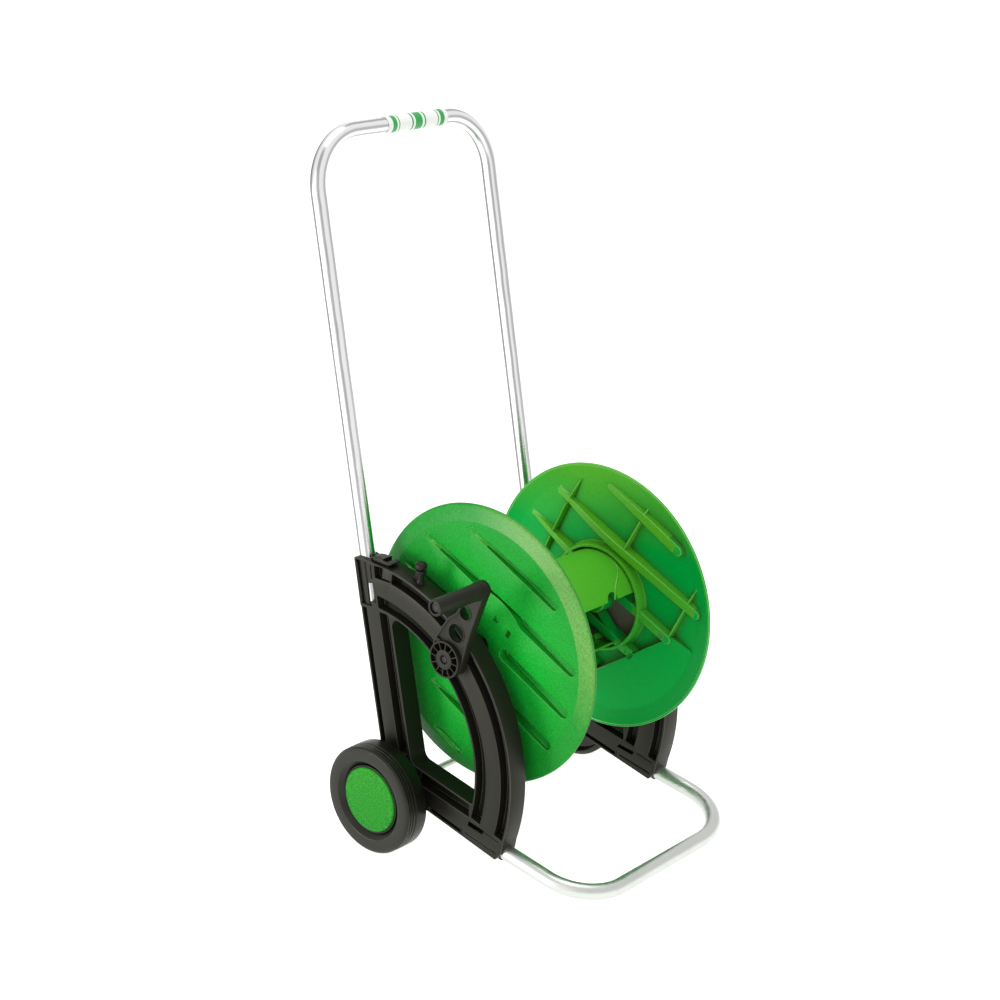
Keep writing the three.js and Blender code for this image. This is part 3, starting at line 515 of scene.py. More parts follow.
def lathe_x(profile, cy, cz, seg=128, closed=True, phase=0.0):
    """An (x, r) profile turned about the line along X through (cy, cz)."""
    b = Build()
    rings = []
    for x, r in profile:
        if r < 1e-6:
            rings.append(b.ring([(x, cy, cz)]))
        else:
            rings.append(b.ring([(x, cy + r * math.cos(phase + 2 * math.pi * k / seg), cz + r * math.sin(phase + 2 * math.pi * k / seg)) for k in range(seg)]))
    pairs = list(zip(rings, rings[1:])) + ([(rings[-1], rings[0])] if closed else [])
    for a, c in pairs:
        if len(a) == 1 and len(c) == 1:
            continue
        if len(a) == 1:
            for k in range(seg):
                b.face((a[0], c[k], c[(k + 1) % seg]))
        elif len(c) == 1:
            for k in range(seg):
                b.face((a[k], a[(k + 1) % seg], c[0]))
        else:
            b.bridge(a, c)
    return b


def soften(profile, r, n=3, closed=True):
    """An (x, r) profile with its corners rounded; a third entry overrides the radius."""
    out = []
    m_ = len(profile)
    for i, c in enumerate(profile):
        rr = c[2] if len(c) > 2 else r
        ends = (not closed) and i in (0, m_ - 1)
        if rr == 0 or ends:
            out.append((c[0], c[1]))
        else:
            out += corner(profile[i - 1][:2], c[:2], profile[(i + 1) % m_][:2], rr, n)
    return out


def tube(stations, radius, bore, sides=96, bore_sides=96):
    """A hollow tube with open ends along (point, tangent, side) stations."""
    b = Build()
    outer, inner = [], []
    for p, t, s in stations:
        p, t, s = Vector(p), Vector(t).normalized(), Vector(s).normalized()
        n = t.cross(s)
        outer.append(b.ring([p + radius * (math.cos(2 * math.pi * k / sides) * s + math.sin(2 * math.pi * k / sides) * n) for k in range(sides)]))
        inner.append(b.ring([p + bore * (math.cos(2 * math.pi * k / sides) * s + math.sin(2 * math.pi * k / sides) * n) for k in range(sides)]))
    for a, c in zip(outer, outer[1:]):
        b.bridge(a, c)
    for a, c in zip(inner, inner[1:]):
        b.bridge(a, c)
    b.bridge(outer[0], inner[0])
    b.bridge(outer[-1], inner[-1])
    return b


def boolean(ob, tool, kind):
    mod = ob.modifiers.new("cut", "BOOLEAN")
    mod.object = tool
    mod.operation = kind
    mod.solver = "EXACT"
    dg = bpy.context.evaluated_depsgraph_get()
    me = bpy.data.meshes.new_from_object(ob.evaluated_get(dg))
    ob.modifiers.clear()
    old = ob.data
    ob.data = me
    bpy.data.meshes.remove(old)
    tm = tool.data
    bpy.data.objects.remove(tool)
    bpy.data.meshes.remove(tm)
    return ob


def show(ob, body, node):
    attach(ob, body)
    if node:
        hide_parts(*([node] if isinstance(node, str) else node))
    return ob


# ------------------------------------------------------------- dimensions
FRAME_MID, FRAME_T = 146.7, 27.0
FO, FI = FRAME_MID + FRAME_T / 2, FRAME_MID - FRAME_T / 2
AY, AZC = 137.0, 123.8            # centre of the quarter-round arch
ARCH_R, OPEN_R = 225.4, 169.5
AXLE_Y, AXLE_Z = 98.0, 67.5
DRUM_Z = 265.7
TUBE_R, TUBE_BORE = 9.5, 8.2


def up_y(y, z):
    return y + 0.1714 * (z - 252.5)


def leg_y(z):
    return 135.9 + 0.16 * (z - DRUM_Z)


def foot_z(y):
    return 20.9 + 0.193 * (y + 136.0)


def arch(r, a0, a1, step=1.5):
    return arc(AY, AZC, r, a0, a1, step)


# -------------------------------------------------------------- side frames
def frame_outline():
    items = [(160, 350, 1.2), (149, 353, 0), (139, 350.8, 0)]
    items += arch(ARCH_R, 92.5, 199.5, 1.25)
    items[-1] = items[-1][:2] + (1.5,)
    items += [(-72.5, 35.5, 3.0), (-63.75, 26.07, 2.0), (44, 54.5, 6.0)]
    items += arc(AXLE_Y, AXLE_Z, 22, 260.2, 358.6, 6.0)
    items += [(121.4, 127, 20.0), (149.4, 290, 0.6), (150.9, 292, 0.6)]
    return rounded(items)


def frame_opening():
    # fillet of radius 9 between the arch and the upright's edge
    r = 9.0
    n = np.array([1, -0.1714]) / math.hypot(1, 0.1714)
    d = np.array([0.1714, 1]) / math.hypot(1, 0.1714)
    p0 = np.array([up_y(94.5, 290), 290.0]) - n * r
    f = p0 - np.array([AY, AZC])
    R = OPEN_R - r
    bb, cc = f @ d, f @ f - R * R
    c = p0 + d * (-bb + math.sqrt(bb * bb - cc))
    on = (c - np.array([AY, AZC])) / np.linalg.norm(c - np.array([AY, AZC]))
    ae, aa = math.atan2(n[1], n[0]), math.atan2(on[1], on[0])
    out = [(c[0] + r * math.cos(ae + (aa - ae) * k / 8), c[1] + r * math.sin(ae + (aa - ae) * k / 8), 0) for k in range(9)]
    end = 180.0
    while AZC + OPEN_R * math.sin(math.radians(end)) > 92.5 + 0.233 * (AY + OPEN_R * math.cos(math.radians(end))):
        end += 0.02
    a = arch(OPEN_R, math.degrees(aa), end, 1.5)[1:]
    a[-1] = a[-1][:2] + (1.6,)
    return rounded(out + a + [(69.87, 108.78, 12.0)])


def pocket_loops():
    A = arch(222.8, 100.4, 198.3) + arch(210, 198.3, 100.4)
    k = len(A) // 2
    A[0], A[k - 1], A[k], A[-1] = (A[0][:2] + (0.8,), A[k - 1][:2] + (0.8,), A[k][:2] + (0.8,), A[-1][:2] + (0.8,))
    B1, B2 = arch(187, 95.6, 198.7), arch(172, 198.7, 96.2)
    B1[-1], B2[0] = B1[-1][:2] + (0.8,), B2[0][:2] + (0.8,)
    B = [(122.9, 310.2, 1.0)] + B1 + B2 + [(120.3, 295.1, 1.0)]
    C = [(up_y(97.7, 118), 118, 3), (up_y(113, 118), 118, 1), (up_y(113, 290), 290, 1), (up_y(97.7, 290), 290, 6)]
    D = [(up_y(133.75, 118), 118, 1), (up_y(140.5, 118), 118, 1), (up_y(140.5, 290.5), 290.5, 1), (up_y(133.75, 290.5), 290.5, 1)]
    lo = lambda z, kk, y: z + kk * y
    Ee = [(-23, lo(73.2, 0.22, -23), 1), (65, lo(73.2, 0.22, 65), 1), (65, lo(90.2, 0.233, 65), 3), (-23, lo(90.2, 0.233, -23), 1)]
    F = [(-10, lo(45.6, 0.264, -10), 0.6), (40, lo(45.6, 0.264, 40), 0.6), (40, lo(50.5, 0.262, 40), 0.6), (-10, lo(50.5, 0.262, -10), 0.6)]
    return [rounded(x) for x in (A, B, C, D, Ee, F)]


def frame_half(sx_face, x_face, into):
    """One face of a side frame with its channels: returns the build and its outer and opening rings."""
    b = Build()
    out_loop, open_loop = frame_outline(), frame_opening()
    q = quarter(0.9)
    mid_depth = FRAME_T / 2
    o0, o1 = sweep_loop(b, out_loop, [(-d, t) for d, t in q] + [(0, mid_depth)], x_face, into)
    h0, h1 = sweep_loop(b, open_loop, [(d, t) for d, t in q] + [(0, mid_depth)], x_face, into)
    rings = [h0]
    for lp in pocket_loops():
        rings.append(pocket(b, lp, x_face, into, 12.0, 0.7, 0.8, 0.3))
    # small recesses and slots
    rings.append(pocket(b, rounded([(144.5, 297), (149, 297), (157.5, 345.5), (151, 345.5)]), x_face, into, 1.6, 0.5, 0.5))
    rings.append(pocket(b, rounded([(111.6, 347.6), (126.6, 346.4), (125.2, 331.6), (97.8, 331.2), (97.8, 333.0), (113.4, 334.4)], 0.4), x_face, into, 9.0, 0.4, 0.4))
    rings.append(pocket(b, rounded([(129.8, 329), (131.6, 329), (133.4, 346), (131.4, 346)], 0.4), x_face, into, 2.2, 0.4, 0.4))
    rings.append(pocket(b, rounded([(-66, 33.4), (-17, 44.6), (-17, 47.0), (-66, 36.2)], 0.5), x_face, into, 2.0, 0.5, 0.5))
    rings.append(pocket(b, rounded([(-70, 49.6), (-45, 56.0), (-45, 57.4), (-70, 51.0)], 0.4), x_face, into, 2.0, 0.4, 0.4))
    rings.append(pocket(b, rounded([(-12.6, 41.4), (-11.4, 41.7), (-11.4, 50.5), (-12.6, 50.3)], 0.3), x_face, into, 1.5, 0.3, 0.3))
    b.fill(o0, rings)
    return b, o1, h1


def cylinder_between(p0, p1, r, seg=48):
    p0, p1 = Vector(p0), Vector(p1)
    d = (p1 - p0).normalized()
    s = Vector((1, 0, 0)) if abs(d.x) < 0.9 else Vector((0, 1, 0))
    n = d.cross(s).normalized()
    s = n.cross(d).normalized()
    b = Build()
    r0 = b.ring([p0 + r * (math.cos(2 * math.pi * k / seg) * s + math.sin(2 * math.pi * k / seg) * n) for k in range(seg)])
    r1 = b.ring([p1 + r * (math.cos(2 * math.pi * k / seg) * s + math.sin(2 * math.pi * k / seg) * n) for k in range(seg)])
    b.bridge(r0, r1)
    b.face(tuple(reversed(r0)))
    b.face(tuple(r1))
    return b


def prism(loop, x0, x1):
    b = Build()
    r0 = b.ring([(x0, y, z) for y, z in loop])
    r1 = b.ring([(x1, y, z) for y, z in loop])
    b.bridge(r0, r1)
    b.fill(r0, [])
    b.fill(r1, [])
    return b


def side_frame(side):
    b, o1, h1 = frame_half(side, side * FO, -side)
    c, o2, h2 = frame_half(side, side * FI, side)
    n = len(b.v)
    b.add(c)
    name = "side_frame_right" if side > 0 else "side_frame_left"
    ob = b.object(name + "_shell", BLACK)
    mx = side * FRAME_MID
    tmp = lambda bb: bb.object("tool", BLACK)
    u = Vector((0, 0.16, 1)).normalized()
    f = Vector((0, -1, -0.193)).normalized()
    top0, top1 = Vector((mx, leg_y(292.6), 292.6)), Vector((mx, leg_y(352.3), 352.3))
    well = [(leg_y(294.5) - 9.6, 294.5), (147.6, 294.5), (157.2, 348.5), (leg_y(348.5) - 9.6, 348.5)]
    for x_f, x_d in ((FO + 2, FO - 9.5), (FI - 2, FI + 9.5)):
        boolean(ob, tmp(prism(ccw(well), side * x_f, side * x_d)), "DIFFERENCE")
    boolean(ob, tmp(cylinder_between(top0, top0 + (top1 - top0) * 0.93, 11.2, 64)), "UNION")
    fr0, fr1 = Vector((mx, -12, foot_z(-12))), Vector((mx, -74.5, foot_z(-74.5)))
    boolean(ob, tmp(cylinder_between(fr0, Vector((mx, -69.0, foot_z(-69.0))), 11.4)), "UNION")
    boolean(ob, tmp(lathe_x([(-FO, 0), (-FO, 21), (-FI, 21), (-FI, 0)] if side < 0 else [(FI, 0), (FI, 21), (FO, 21), (FO, 0)], 0, DRUM_Z, 64, False)), "UNION")
    boolean(ob, tmp(cylinder_between(top0, top1 + u * 8, 9.85)), "DIFFERENCE")
    boolean(ob, tmp(cylinder_between(Vector((mx, -11.6, foot_z(-11.6))), fr1 + f * 8, 9.85)), "DIFFERENCE")
    w = [(123.8, 300.2), (137.4, 297.6), (140.6, 322.0), (127.2, 324.6)]
    boolean(ob, tmp(prism(rounded(w, 0.5), side * (FO + 2), side * (FRAME_MID + 0.3))), "DIFFERENCE")
    w = [(-23.5, 63.2), (-47.2, 58.2), (-44.6, 52.2), (-21.4, 57.2)]
    boolean(ob, tmp(prism(rounded(w, 0.5), side * (FO + 2), side * FRAME_MID)), "DIFFERENCE")
    w = [(-16.6, 60.6), (-40.9, 56.8), (-37.8, 51.7), (-13.4, 56.2)]
    boolean(ob, tmp(prism(rounded(ccw(w), 0.5), side * (FI - 2), side * FRAME_MID)), "DIFFERENCE")
    boolean(ob, tmp(lathe_x([(side * (FI - 2), 0), (side * (FI - 2), 17.25), (side * (FO + 2), 17.25), (side * (FO + 2), 0)], 0, DRUM_Z, 64, False)), "DIFFERENCE")
    boolean(ob, tmp(lathe_x([(side * (FI - 2), 0), (side * (FI - 2), 4.3), (side * (FO + 2), 4.3), (side * (FO + 2), 0)], AXLE_Y, AXLE_Z, 32, False)), "DIFFERENCE")
    me = ob.data
    # painted shade: the sunk floors of the channels get a darker black, also rougher and less glossy
    me.materials.append(BLACK_RECESS_SHADE)
    me.materials.append(BLACK_EDGE_HIGHLIGHT)
    for poly in me.polygons:
        if poly.normal.x * side > 0.9 and FO - 14 < (poly.center.x * 1000.0 - SHIFT[0]) * side < FO - 3.0:
            poly.material_index = 1
        # painted highlight: thin rounded edge strips get a lighter, glossier black
        elif 0.2 < abs(poly.normal.x) < 0.96:
            pts = [me.vertices[v].co for v in poly.vertices]
            longest = max((pts[i] - pts[i - 1]).length for i in range(len(pts)))
            if poly.area / longest < 0.0013:
                poly.material_index = 2
    me.shade_smooth()
    me.set_sharp_from_angle(angle=math.radians(32))
    return show(ob, "cart", name)


side_frame(-1)
side_frame(1)


# --------------------------------------------------------------------- tubes
def u_tube(end, top, bends, steps=28):
    ey, ez = end
    up_ = Vector((0, top[0] - ey, top[1] - ez))
    h = up_.length
    up_.normalize()
    side = Vector((1, 0, 0))
    nrm = up_.cross(side)
    at = lambda x, t: Vector((x, ey, ez)) + up_ * t
    bl, br = bends
    st = [(at(-FRAME_MID, 0), up_, nrm), (at(-FRAME_MID, 1.0), up_, nrm)]
    for i in range(steps + 1):
        a = i / steps * math.pi / 2
        st.append((at(-FRAME_MID + bl - bl * math.cos(a), h - bl + bl * math.sin(a)), up_ * math.cos(a) + side * math.sin(a), nrm))
    for i in range(steps + 1):
        a = i / steps * math.pi / 2
        st.append((at(FRAME_MID - br + br * math.sin(a), h - br + br * math.cos(a)), side * math.cos(a) - up_ * math.sin(a), nrm))
    st.append((at(FRAME_MID, 0), -up_, nrm))
    return st


def mark_turns(ob, sides=96):
    """Mark each point of a tube with its turn round the section, for the painted reflection bands."""
    me = ob.data
    k = np.arange(len(me.vertices)) % sides
    at = me.attributes.new("turn", "FLOAT", "POINT")
    at.data.foreach_set("value", (k / sides).astype(np.float32))
    return ob


show(mark_turns(tube(u_tube((leg_y(293.1), 293.1), (228.0, 841.3), (67, 67)), TUBE_R, TUBE_BORE).object("handle_tube_bent", STEEL)), "cart", "handle_tube")
show(mark_turns(tube(u_tube((-12.2, foot_z(-12.2)), (-194.0, 9.7), (60, 78)), TUBE_R, TUBE_BORE).object("foot_tube_bent", DULL_STEEL)), "cart", "foot_tube")


# -------------------------------------------------------------------- wheels
def wheel(side):
    k = side
    o = 207.0
    prof = [
        (o - 14, 4.06, 0.3), (171.3, 4.06, 0.3), (171.3, 12, 0.8), (o - 22, 13, 1.5), (o - 22, 60, 2.5), (171.3, 61.3, 0.8),
        (175.3, 67.5, 2.0),
        (191.9, 67.5, 0.3), (192.5, 66.0, 0.3), (193.6, 66.0, 0.3), (194.2, 67.4, 0.3),
        (196.6, 67.4, 0.3), (197.1, 66.0, 0.3), (198.2, 66.0, 0.3), (198.8, 67.2, 0.3),
        (200.6, 67.2, 0.3), (201.1, 65.9, 0.3), (202.2, 65.9, 0.3), (202.8, 67.1, 0.4),
        (204.3, 67.2, 0.8), (o - 0.4, 64.8, 0.8), (o - 0.5, 63.4, 0.3), (o, 62.9, 0.4), (o, 50, 1.6), (o - 7, 43.6, 1.5), (o - 9, 43.4, 0.4),
        (o - 4.6, 43.0, 0.8), (o - 4.6, 41.2, 0.5), (o - 14, 41.0, 0.5),
    ]
    b = lathe_x([(k * x, r) for x, r in soften(prof, 0.3)], AXLE_Y, AXLE_Z, 160)
    ribs = []
    for q in range(6):
        a = q * math.pi / 3 + 0.2
        r = Build()
        c, s = math.cos(a), math.sin(a)
        pts = []
        for x in (k * (o - 21.6), k * 172.2):
            for rr, tt in ((12.4, -1.0), (60.6, -1.0), (60.6, 1.0), (12.4, 1.0)):
                pts.append((x, AXLE_Y + tt * c - rr * s, AXLE_Z + tt * s + rr * c))
        i = r.ring(pts)
        for f in ((0, 1, 2, 3), (4, 5, 6, 7), (0, 1, 5, 4), (1, 2, 6, 5), (2, 3, 7, 6), (3, 0, 4, 7)):
            r.face([i[j] for j in f])
        ribs.append(r)
    body = "wheel_right" if side > 0 else "wheel_left"
    ob = b.object(body + "_tyre", WHEEL)
    for r in ribs:
        rb = r.object("rib", WHEEL)
        boolean(ob, rb, "UNION")
    ob.data.shade_smooth()
    ob.data.set_sharp_from_angle(angle=math.radians(32))
    show(ob, body, body)
    cap = [(202.2, 0), (202.2, 36.6, 0.5), (197.6, 38.4, 0.3), (197.6, 40.6, 0.3), (203.0, 40.7, 0.6), (204.2, 39.4, 0.5), (203.9, 38.2, 0.4),
           (204.35, 30, 0), (204.6, 15, 0), (204.7, 0)]
    cb = lathe_x([(k * x, r) for x, r in soften(cap, 0.3, closed=False)], AXLE_Y, AXLE_Z, 128, closed=False)
    show(cb.object("hub_disc_" + ("right" if side > 0 else "left"), CAP), body, "hub_cap_right" if side > 0 else "hub_cap_left")


wheel(-1)
wheel(1)


# --------------------------------------------------------------- drum discs
TILT = math.radians(27.43)
CT, ST = math.cos(TILT), math.sin(TILT)
FACE, SKIN = 114.5, 2.6


def disc_yz(s, o):
    """Disc coordinates to (y, z): s runs down to the front along the grooves, o across them."""
    return (-CT * s - ST * o, DRUM_Z - ST * s + CT * o)


def slot_plan(s0, s1, o0, o1, w0=None, n=26, ends=10, low=None):
    """A slot along s with round ends, w0 wide at its s0 end; both long sides hold the same stations."""
    w = o1 - o0
    w0 = w if w0 is None else w0
    c = (o0 + o1) / 2
    a, b_ = s0 + w0 / 2, s1 - w / 2
    full = a + 0.62 * (b_ - a)
    half = lambda s: (w0 + (w - w0) * min(1.0, max(0.0, (s - a) / (full - a))) ** 0.8) / 2
    st = [a + (b_ - a) * k / n for k in range(n + 1)]
    pts = [(s, max(c - half(s), low(s)) if low else c - half(s)) for s in st]
    pts += [(b_ + w / 2 * math.cos(t), c + w / 2 * math.sin(t)) for t in (-math.pi / 2 + math.pi * k / ends for k in range(1, ends))]
    pts += [(s, c + half(s)) for s in reversed(st)]
    pts += [(a + w0 / 2 * math.cos(t), c + w0 / 2 * math.sin(t)) for t in (math.pi / 2 + math.pi * k / ends for k in range(1, ends))]
    return pts, n, ends


def relief(plan, x0, into, height, prof):
    """Closed solid over a slot plan. prof: (outward offset, share of the height, mm on top of that)."""
    pts, n, ends = plan
    b = Build()
    base = np.array(pts)
    rings = []
    for d, t, drop in prof:
        q = offset(base, d) if abs(d) > 1e-9 else base
        out = []
        for (s, o), (s_, _) in zip(q, pts):
            h = height(s_)
            k = min(1.0, h / 4.0) if t > 0 else 1.0
            y, z = disc_yz(s, o)
            out.append((x0 + into * (h * t + drop * k), y, z))
        rings.append(b.ring(out))
    for r0, r1 in zip(rings, rings[1:]):
        b.bridge(r0, r1)
    for top in (rings[0], rings[-1]):
        lower, upper = top[:n + 1], top[n + ends:2 * n + ends + 1]
        for k in range(n):
            b.face((lower[k], lower[k + 1], upper[n - k - 1], upper[n - k]))
        b.face(tuple(top[n:n + ends + 1]))
        b.face(tuple(top[2 * n + ends:] + [top[0]]))
    return b


def round_over(r, draft):
    return [(-draft, 1, -r), (-draft - 0.134 * r, 1, -0.5 * r), (-draft - 0.5 * r, 1, -0.134 * r), (-draft - r, 1, 0)]


def ridge(plan, x0, into, height, draft=1.3, r=1.5):
    return relief(plan, x0, into, height, [(0, 0, -0.5), (0, 0, 0.0)] + round_over(r, draft))


def groove(plan, x0, into, height, draft=0.7, r=0.9, foot=1.0):
    prof = [(r, 0, -1.5), (r, 0, 0.0), (r * 0.5, 0, r * 0.134), (r * 0.134, 0, r * 0.5), (0.0, 0, r)]
    prof += [(-draft, 1, -foot), (-draft - 0.134 * foot, 1, -0.5 * foot), (-draft - 0.5 * foot, 1, -0.134 * foot), (-draft - foot, 1, 0)]
    return relief(plan, x0, into, height, prof)


def deepening(s0, peak, top, s1, end, first=0.5, bend=1.6):
    """Height along a ridge or groove: from nothing at s0 up to top at peak, then down to end at s1."""
    def f(s):
        if s < peak:
            t = min(1.0, max(0.0, (s - s0) / (peak - s0)))
            return first + (top - first) * (1 - (1 - t) ** bend)
        return top + (end - top) * min(1.0, (s - peak) / (s1 - peak))
    return f


def plate(side):
    """Disc without its relief: flat face, outer bevel, rounded rim and lip, sloping inner rim."""
    k = side
    prof = [(FACE, 14.0)] + [(FACE, 149.0), (FACE - 0.08, 150.0), (FACE - 0.25, 151.0)]
    prof += [(111.0, 167.2), (110.5, 168.7), (109.9, 169.5), (109.1, 169.95), (108.3, 170.0)]
    prof += [(107.2, 170.0), (106.5, 169.8), (106.15, 169.3), (106.1, 168.6), (106.25, 167.8), (106.7, 167.0)]
    prof += [(111.2, 150.2), (111.6, 148.4), (FACE - SKIN, 146.4), (FACE - SKIN, 14.0)]
    return lathe_x([(k * x, r) for x, r in prof], 0, DRUM_Z, 224)


def join(items):
    b = Build()
    for i in items:
        b.add(i)
    return b


def cut(ob, build, kind="DIFFERENCE"):
    return boolean(ob, build.object("tool", GREEN), kind)


def so_prism(loop, x0, x1):
    return prism(ccw([disc_yz(s, o) for s, o in loop]), x0, x1)


def so_box(s0, s1, o0, o1, x0, x1, r=0.6):
    return so_prism(rounded([(s0, o0), (s1, o0), (s1, o1), (s0, o1)], r), x0, x1)


def collar(side):
    k = side
    prof = [(112.6, 64.6), (99.6, 64.9), (99.0, 65.4), (98.9, 66.2), (99.0, 67.5), (99.4, 68.2), (100.2, 68.6), (108.5, 69.4), (110.9, 70.3), (111.7, 71.6), (112.6, 72.6)]
    return lathe_x([(k * x, r) for x, r in prof], 0, DRUM_Z, 160)


def cross_rib(side, s, o0, o1, h0, h1, t=1.9):
    """A thin web across the ridges: top height h0 at o0 and h1 at o1."""
    b = Build()
    k = side
    rings = []
    n = 8
    for i in range(n + 1):
        o = o0 + (o1 - o0) * i / n
        h = h0 + (h1 - h0) * i / n
        sec = [(-t / 2 - 0.25, -0.5), (-t / 2, h - 0.6), (-t / 4, h - 0.1), (t / 4, h - 0.1), (t / 2, h - 0.6), (t / 2 + 0.25, -0.5)]
        rings.append(b.ring([(k * (FACE - SKIN - hh),) + disc_yz(s + u, o) for u, hh in sec]))
    for r0, r1 in zip(rings, rings[1:]):
        b.bridge(r0, r1)
    b.face(rings[0])
    b.face(rings[-1])
    return b


CHORD = math.radians(-30.35)


def panel(side, dist, r_out, line, top, bottom, edge):
    """Solid over the disc beyond a chord: top(r) and bottom(r) are depths from the outer face."""
    k = side
    half = math.acos((dist + 0.5) / r_out)
    a0 = CHORD - half
    # upper end: where the chord meets the line o = line
    s_c = (dist - line * math.sin(CHORD)) / math.cos(CHORD)
    a1 = math.atan2(line, s_c)
    while line / math.sin(a1) - dist / math.cos(a1 - CHORD) < 0.5:
        a1 -= 0.0005
    n_a, n_r = 72, 14
    b = Build()
    tops, bots = [], []
    for i in range(n_a + 1):
        a = a0 + (a1 - a0) * i / n_a
        rin = dist / math.cos(a - CHORD)
        rout = min(r_out, line / math.sin(a)) if a > 0 else r_out
        rout = max(rout, rin + 0.4)
        rows = [(rin, edge), (rin + 0.35, edge * 0.4), (rin + 0.9, 0.0)] if rout - rin > 2 else [(rin, edge), (rin + (rout - rin) * 0.3, edge * 0.4), (rin + (rout - rin) * 0.6, 0.0)]
        r_s = rows[-1][0]
        rows += [(r_s + (rout - r_s) * j / n_r, 0.0) for j in range(1, n_r + 1)]
        tops.append(b.ring([(k * (FACE - top(r) + e),) + disc_yz(r * math.cos(a), r * math.sin(a)) for r, e in rows]))
        bots.append(b.ring([(k * (FACE - bottom(r)),) + disc_yz(r * math.cos(a), r * math.sin(a)) for r, e in rows]))
    for g in (tops, bots):
        for r0, r1 in zip(g, g[1:]):
            b.bridge(r0, r1, False)
    for j in (0, -1):
        b.bridge([t[j] for t in tops], [q[j] for q in bots], False)
    b.bridge(tops[0], bots[0], False)
    b.bridge(tops[-1], bots[-1], False)
    return b


def window(s_lim, o_lim, r_lim, r_hub, side, n=24):
    """Opening inside the collar between two ridge lines, from the hub side out to the collar."""
    o0, o1 = o_lim
    sg = 1 if s_lim > 0 else -1
    pts = []
    for i in range(n + 1):
        o = o0 + (o1 - o0) * i / n
        pts.append((sg * math.sqrt(r_lim ** 2 - o * o), o))
    for i in range(n + 1):
        o = o1 + (o0 - o1) * i / n
        inner = math.sqrt(max(r_hub ** 2 - o * o, 0.0))
        pts.append((sg * max(inner, abs(s_lim)), o))
    k = side
    return so_prism(pts, min(k * 110, k * 116), max(k * 110, k * 116))


def painted_highlight_looks(ob, edge, rim, rim_at=150.4, rim_nx=0.995, ridge=None):
    """Painted highlights: rounded edges get the lighter edge green, the outer bevel the rim green with its painted
    sheen, and raised ridge faces, when given, the lit ridge green.
    """
    me = ob.data
    me.materials.append(edge)
    me.materials.append(rim)
    me.materials.append(ridge or edge)
    for poly in me.polygons:
        nx = abs(poly.normal.x)
        y = poly.center.y * 1000.0 - SHIFT[1]
        z = poly.center.z * 1000.0 - SHIFT[2] - DRUM_Z
        if math.hypot(y, z) > rim_at and 0.25 < nx < rim_nx:
            poly.material_index = 2
        elif 0.30 < nx < 0.93 and not (ridge is not None and 60.0 < math.hypot(y, z) < 74.0):
            poly.material_index = 1
        elif ridge is not None and 60.0 < math.hypot(y, z) < 149.0 and abs(poly.center.x * 1000.0 - SHIFT[0]) < FACE - SKIN - 0.3 and -0.533 * y - 0.846 * z < 81.0:
            poly.material_index = 3


LEFT_RIDGES = []


def flange_left():
    k = -1
    ob = plate(k).object("drum_disc_left", GREEN)
    hub_land = lambda s: math.sqrt(max(71.0 ** 2 - s * s, 0.0))
    cuts = [
        (slot_plan(-77, 70, 114.0, 124.4, 5.5), deepening(-77, 20, 8.6, 70, 4.0)),
        (slot_plan(-128, 127, 60.7, 74.4, 7.5, n=60, low=hub_land), deepening(-128, -10, 13.0, 127, 5.0)),
        (slot_plan(28, 142.5, 7.6, 22.0), deepening(-60, 30, 13.0, 142.5, 4.6)),
        (slot_plan(-142, -28, 7.6, 22.0, 7.5), deepening(-142, -30, 13.0, 1, 13.0)),
        (slot_plan(-139, 142, -45.0, -31.6, 7.5, n=44), deepening(-139, -10, 13.0, 142, 4.6)),
        (slot_plan(-39, 109, -99.2, -85.0, 6.0), deepening(-39, 15, 9.5, 109, 4.6)),
        (slot_plan(-9, 41, -147.0, -138.6, 5.0, n=12), deepening(-9, 14, 3.6, 41, 2.6)),
    ]
    ridges = []
    for (plan, depth) in cuts:
        pts, n, ends = plan
        wide = [tuple(p) for p in offset(np.array(pts), 2.2)]
        ridges.append(ridge((wide, n, ends), k * (FACE - SKIN), -k, lambda s, d=depth: d(s) - 0.1, 0.8, 1.4))
    LEFT_RIDGES.extend(ridges)
    cut(ob, join(ridges), "UNION")
    cut(ob, collar(k), "UNION")
    hub = lathe_x([(k * x, r) for x, r in soften([(113.0, 0), (113.0, 17.0), (94.5, 17.0, 0.8), (94.5, 0)], 0, closed=False)], 0, DRUM_Z, 64, False)
    cut(ob, hub, "UNION")
    cut(ob, join([groove(plan, k * FACE, -k, depth) for plan, depth in cuts]))
    holes = [
        so_prism([(1.8, 43), (8.8, 43), (8.8, 46.4), (5.2, 46.4), (5.2, 50), (1.8, 50)], k * 116, k * 109),
        so_box(24.2, 31.0, 37.8, 47.4, k * 116, k * 109, 0.5),
        prism([(-9.3, DRUM_Z - 9.3), (9.3, DRUM_Z - 9.3), (9.3, DRUM_Z + 9.3), (-9.3, DRUM_Z + 9.3)], k * 117, k * 92),
    ]
    cut(ob, join(holes))
    smooth(ob)
    # painted highlights on the near disc's rounded edges and painted sheen on its outer bevel
    painted_highlight_looks(ob, GREEN_EDGE_HIGHLIGHT, GREEN_RIM_SHEEN)
    return show(ob, "drum", "flange_left")


def smooth(ob, angle=32.0):
    bm = bmesh.new()
    bm.from_mesh(ob.data)
    bmesh.ops.remove_doubles(bm, verts=bm.verts, dist=2e-6)
    bmesh.ops.dissolve_degenerate(bm, edges=bm.edges, dist=2e-6)
    bm.to_mesh(ob.data)
    bm.free()
    ob.data.shade_smooth()
    ob.data.set_sharp_from_angle(angle=math.radians(angle))


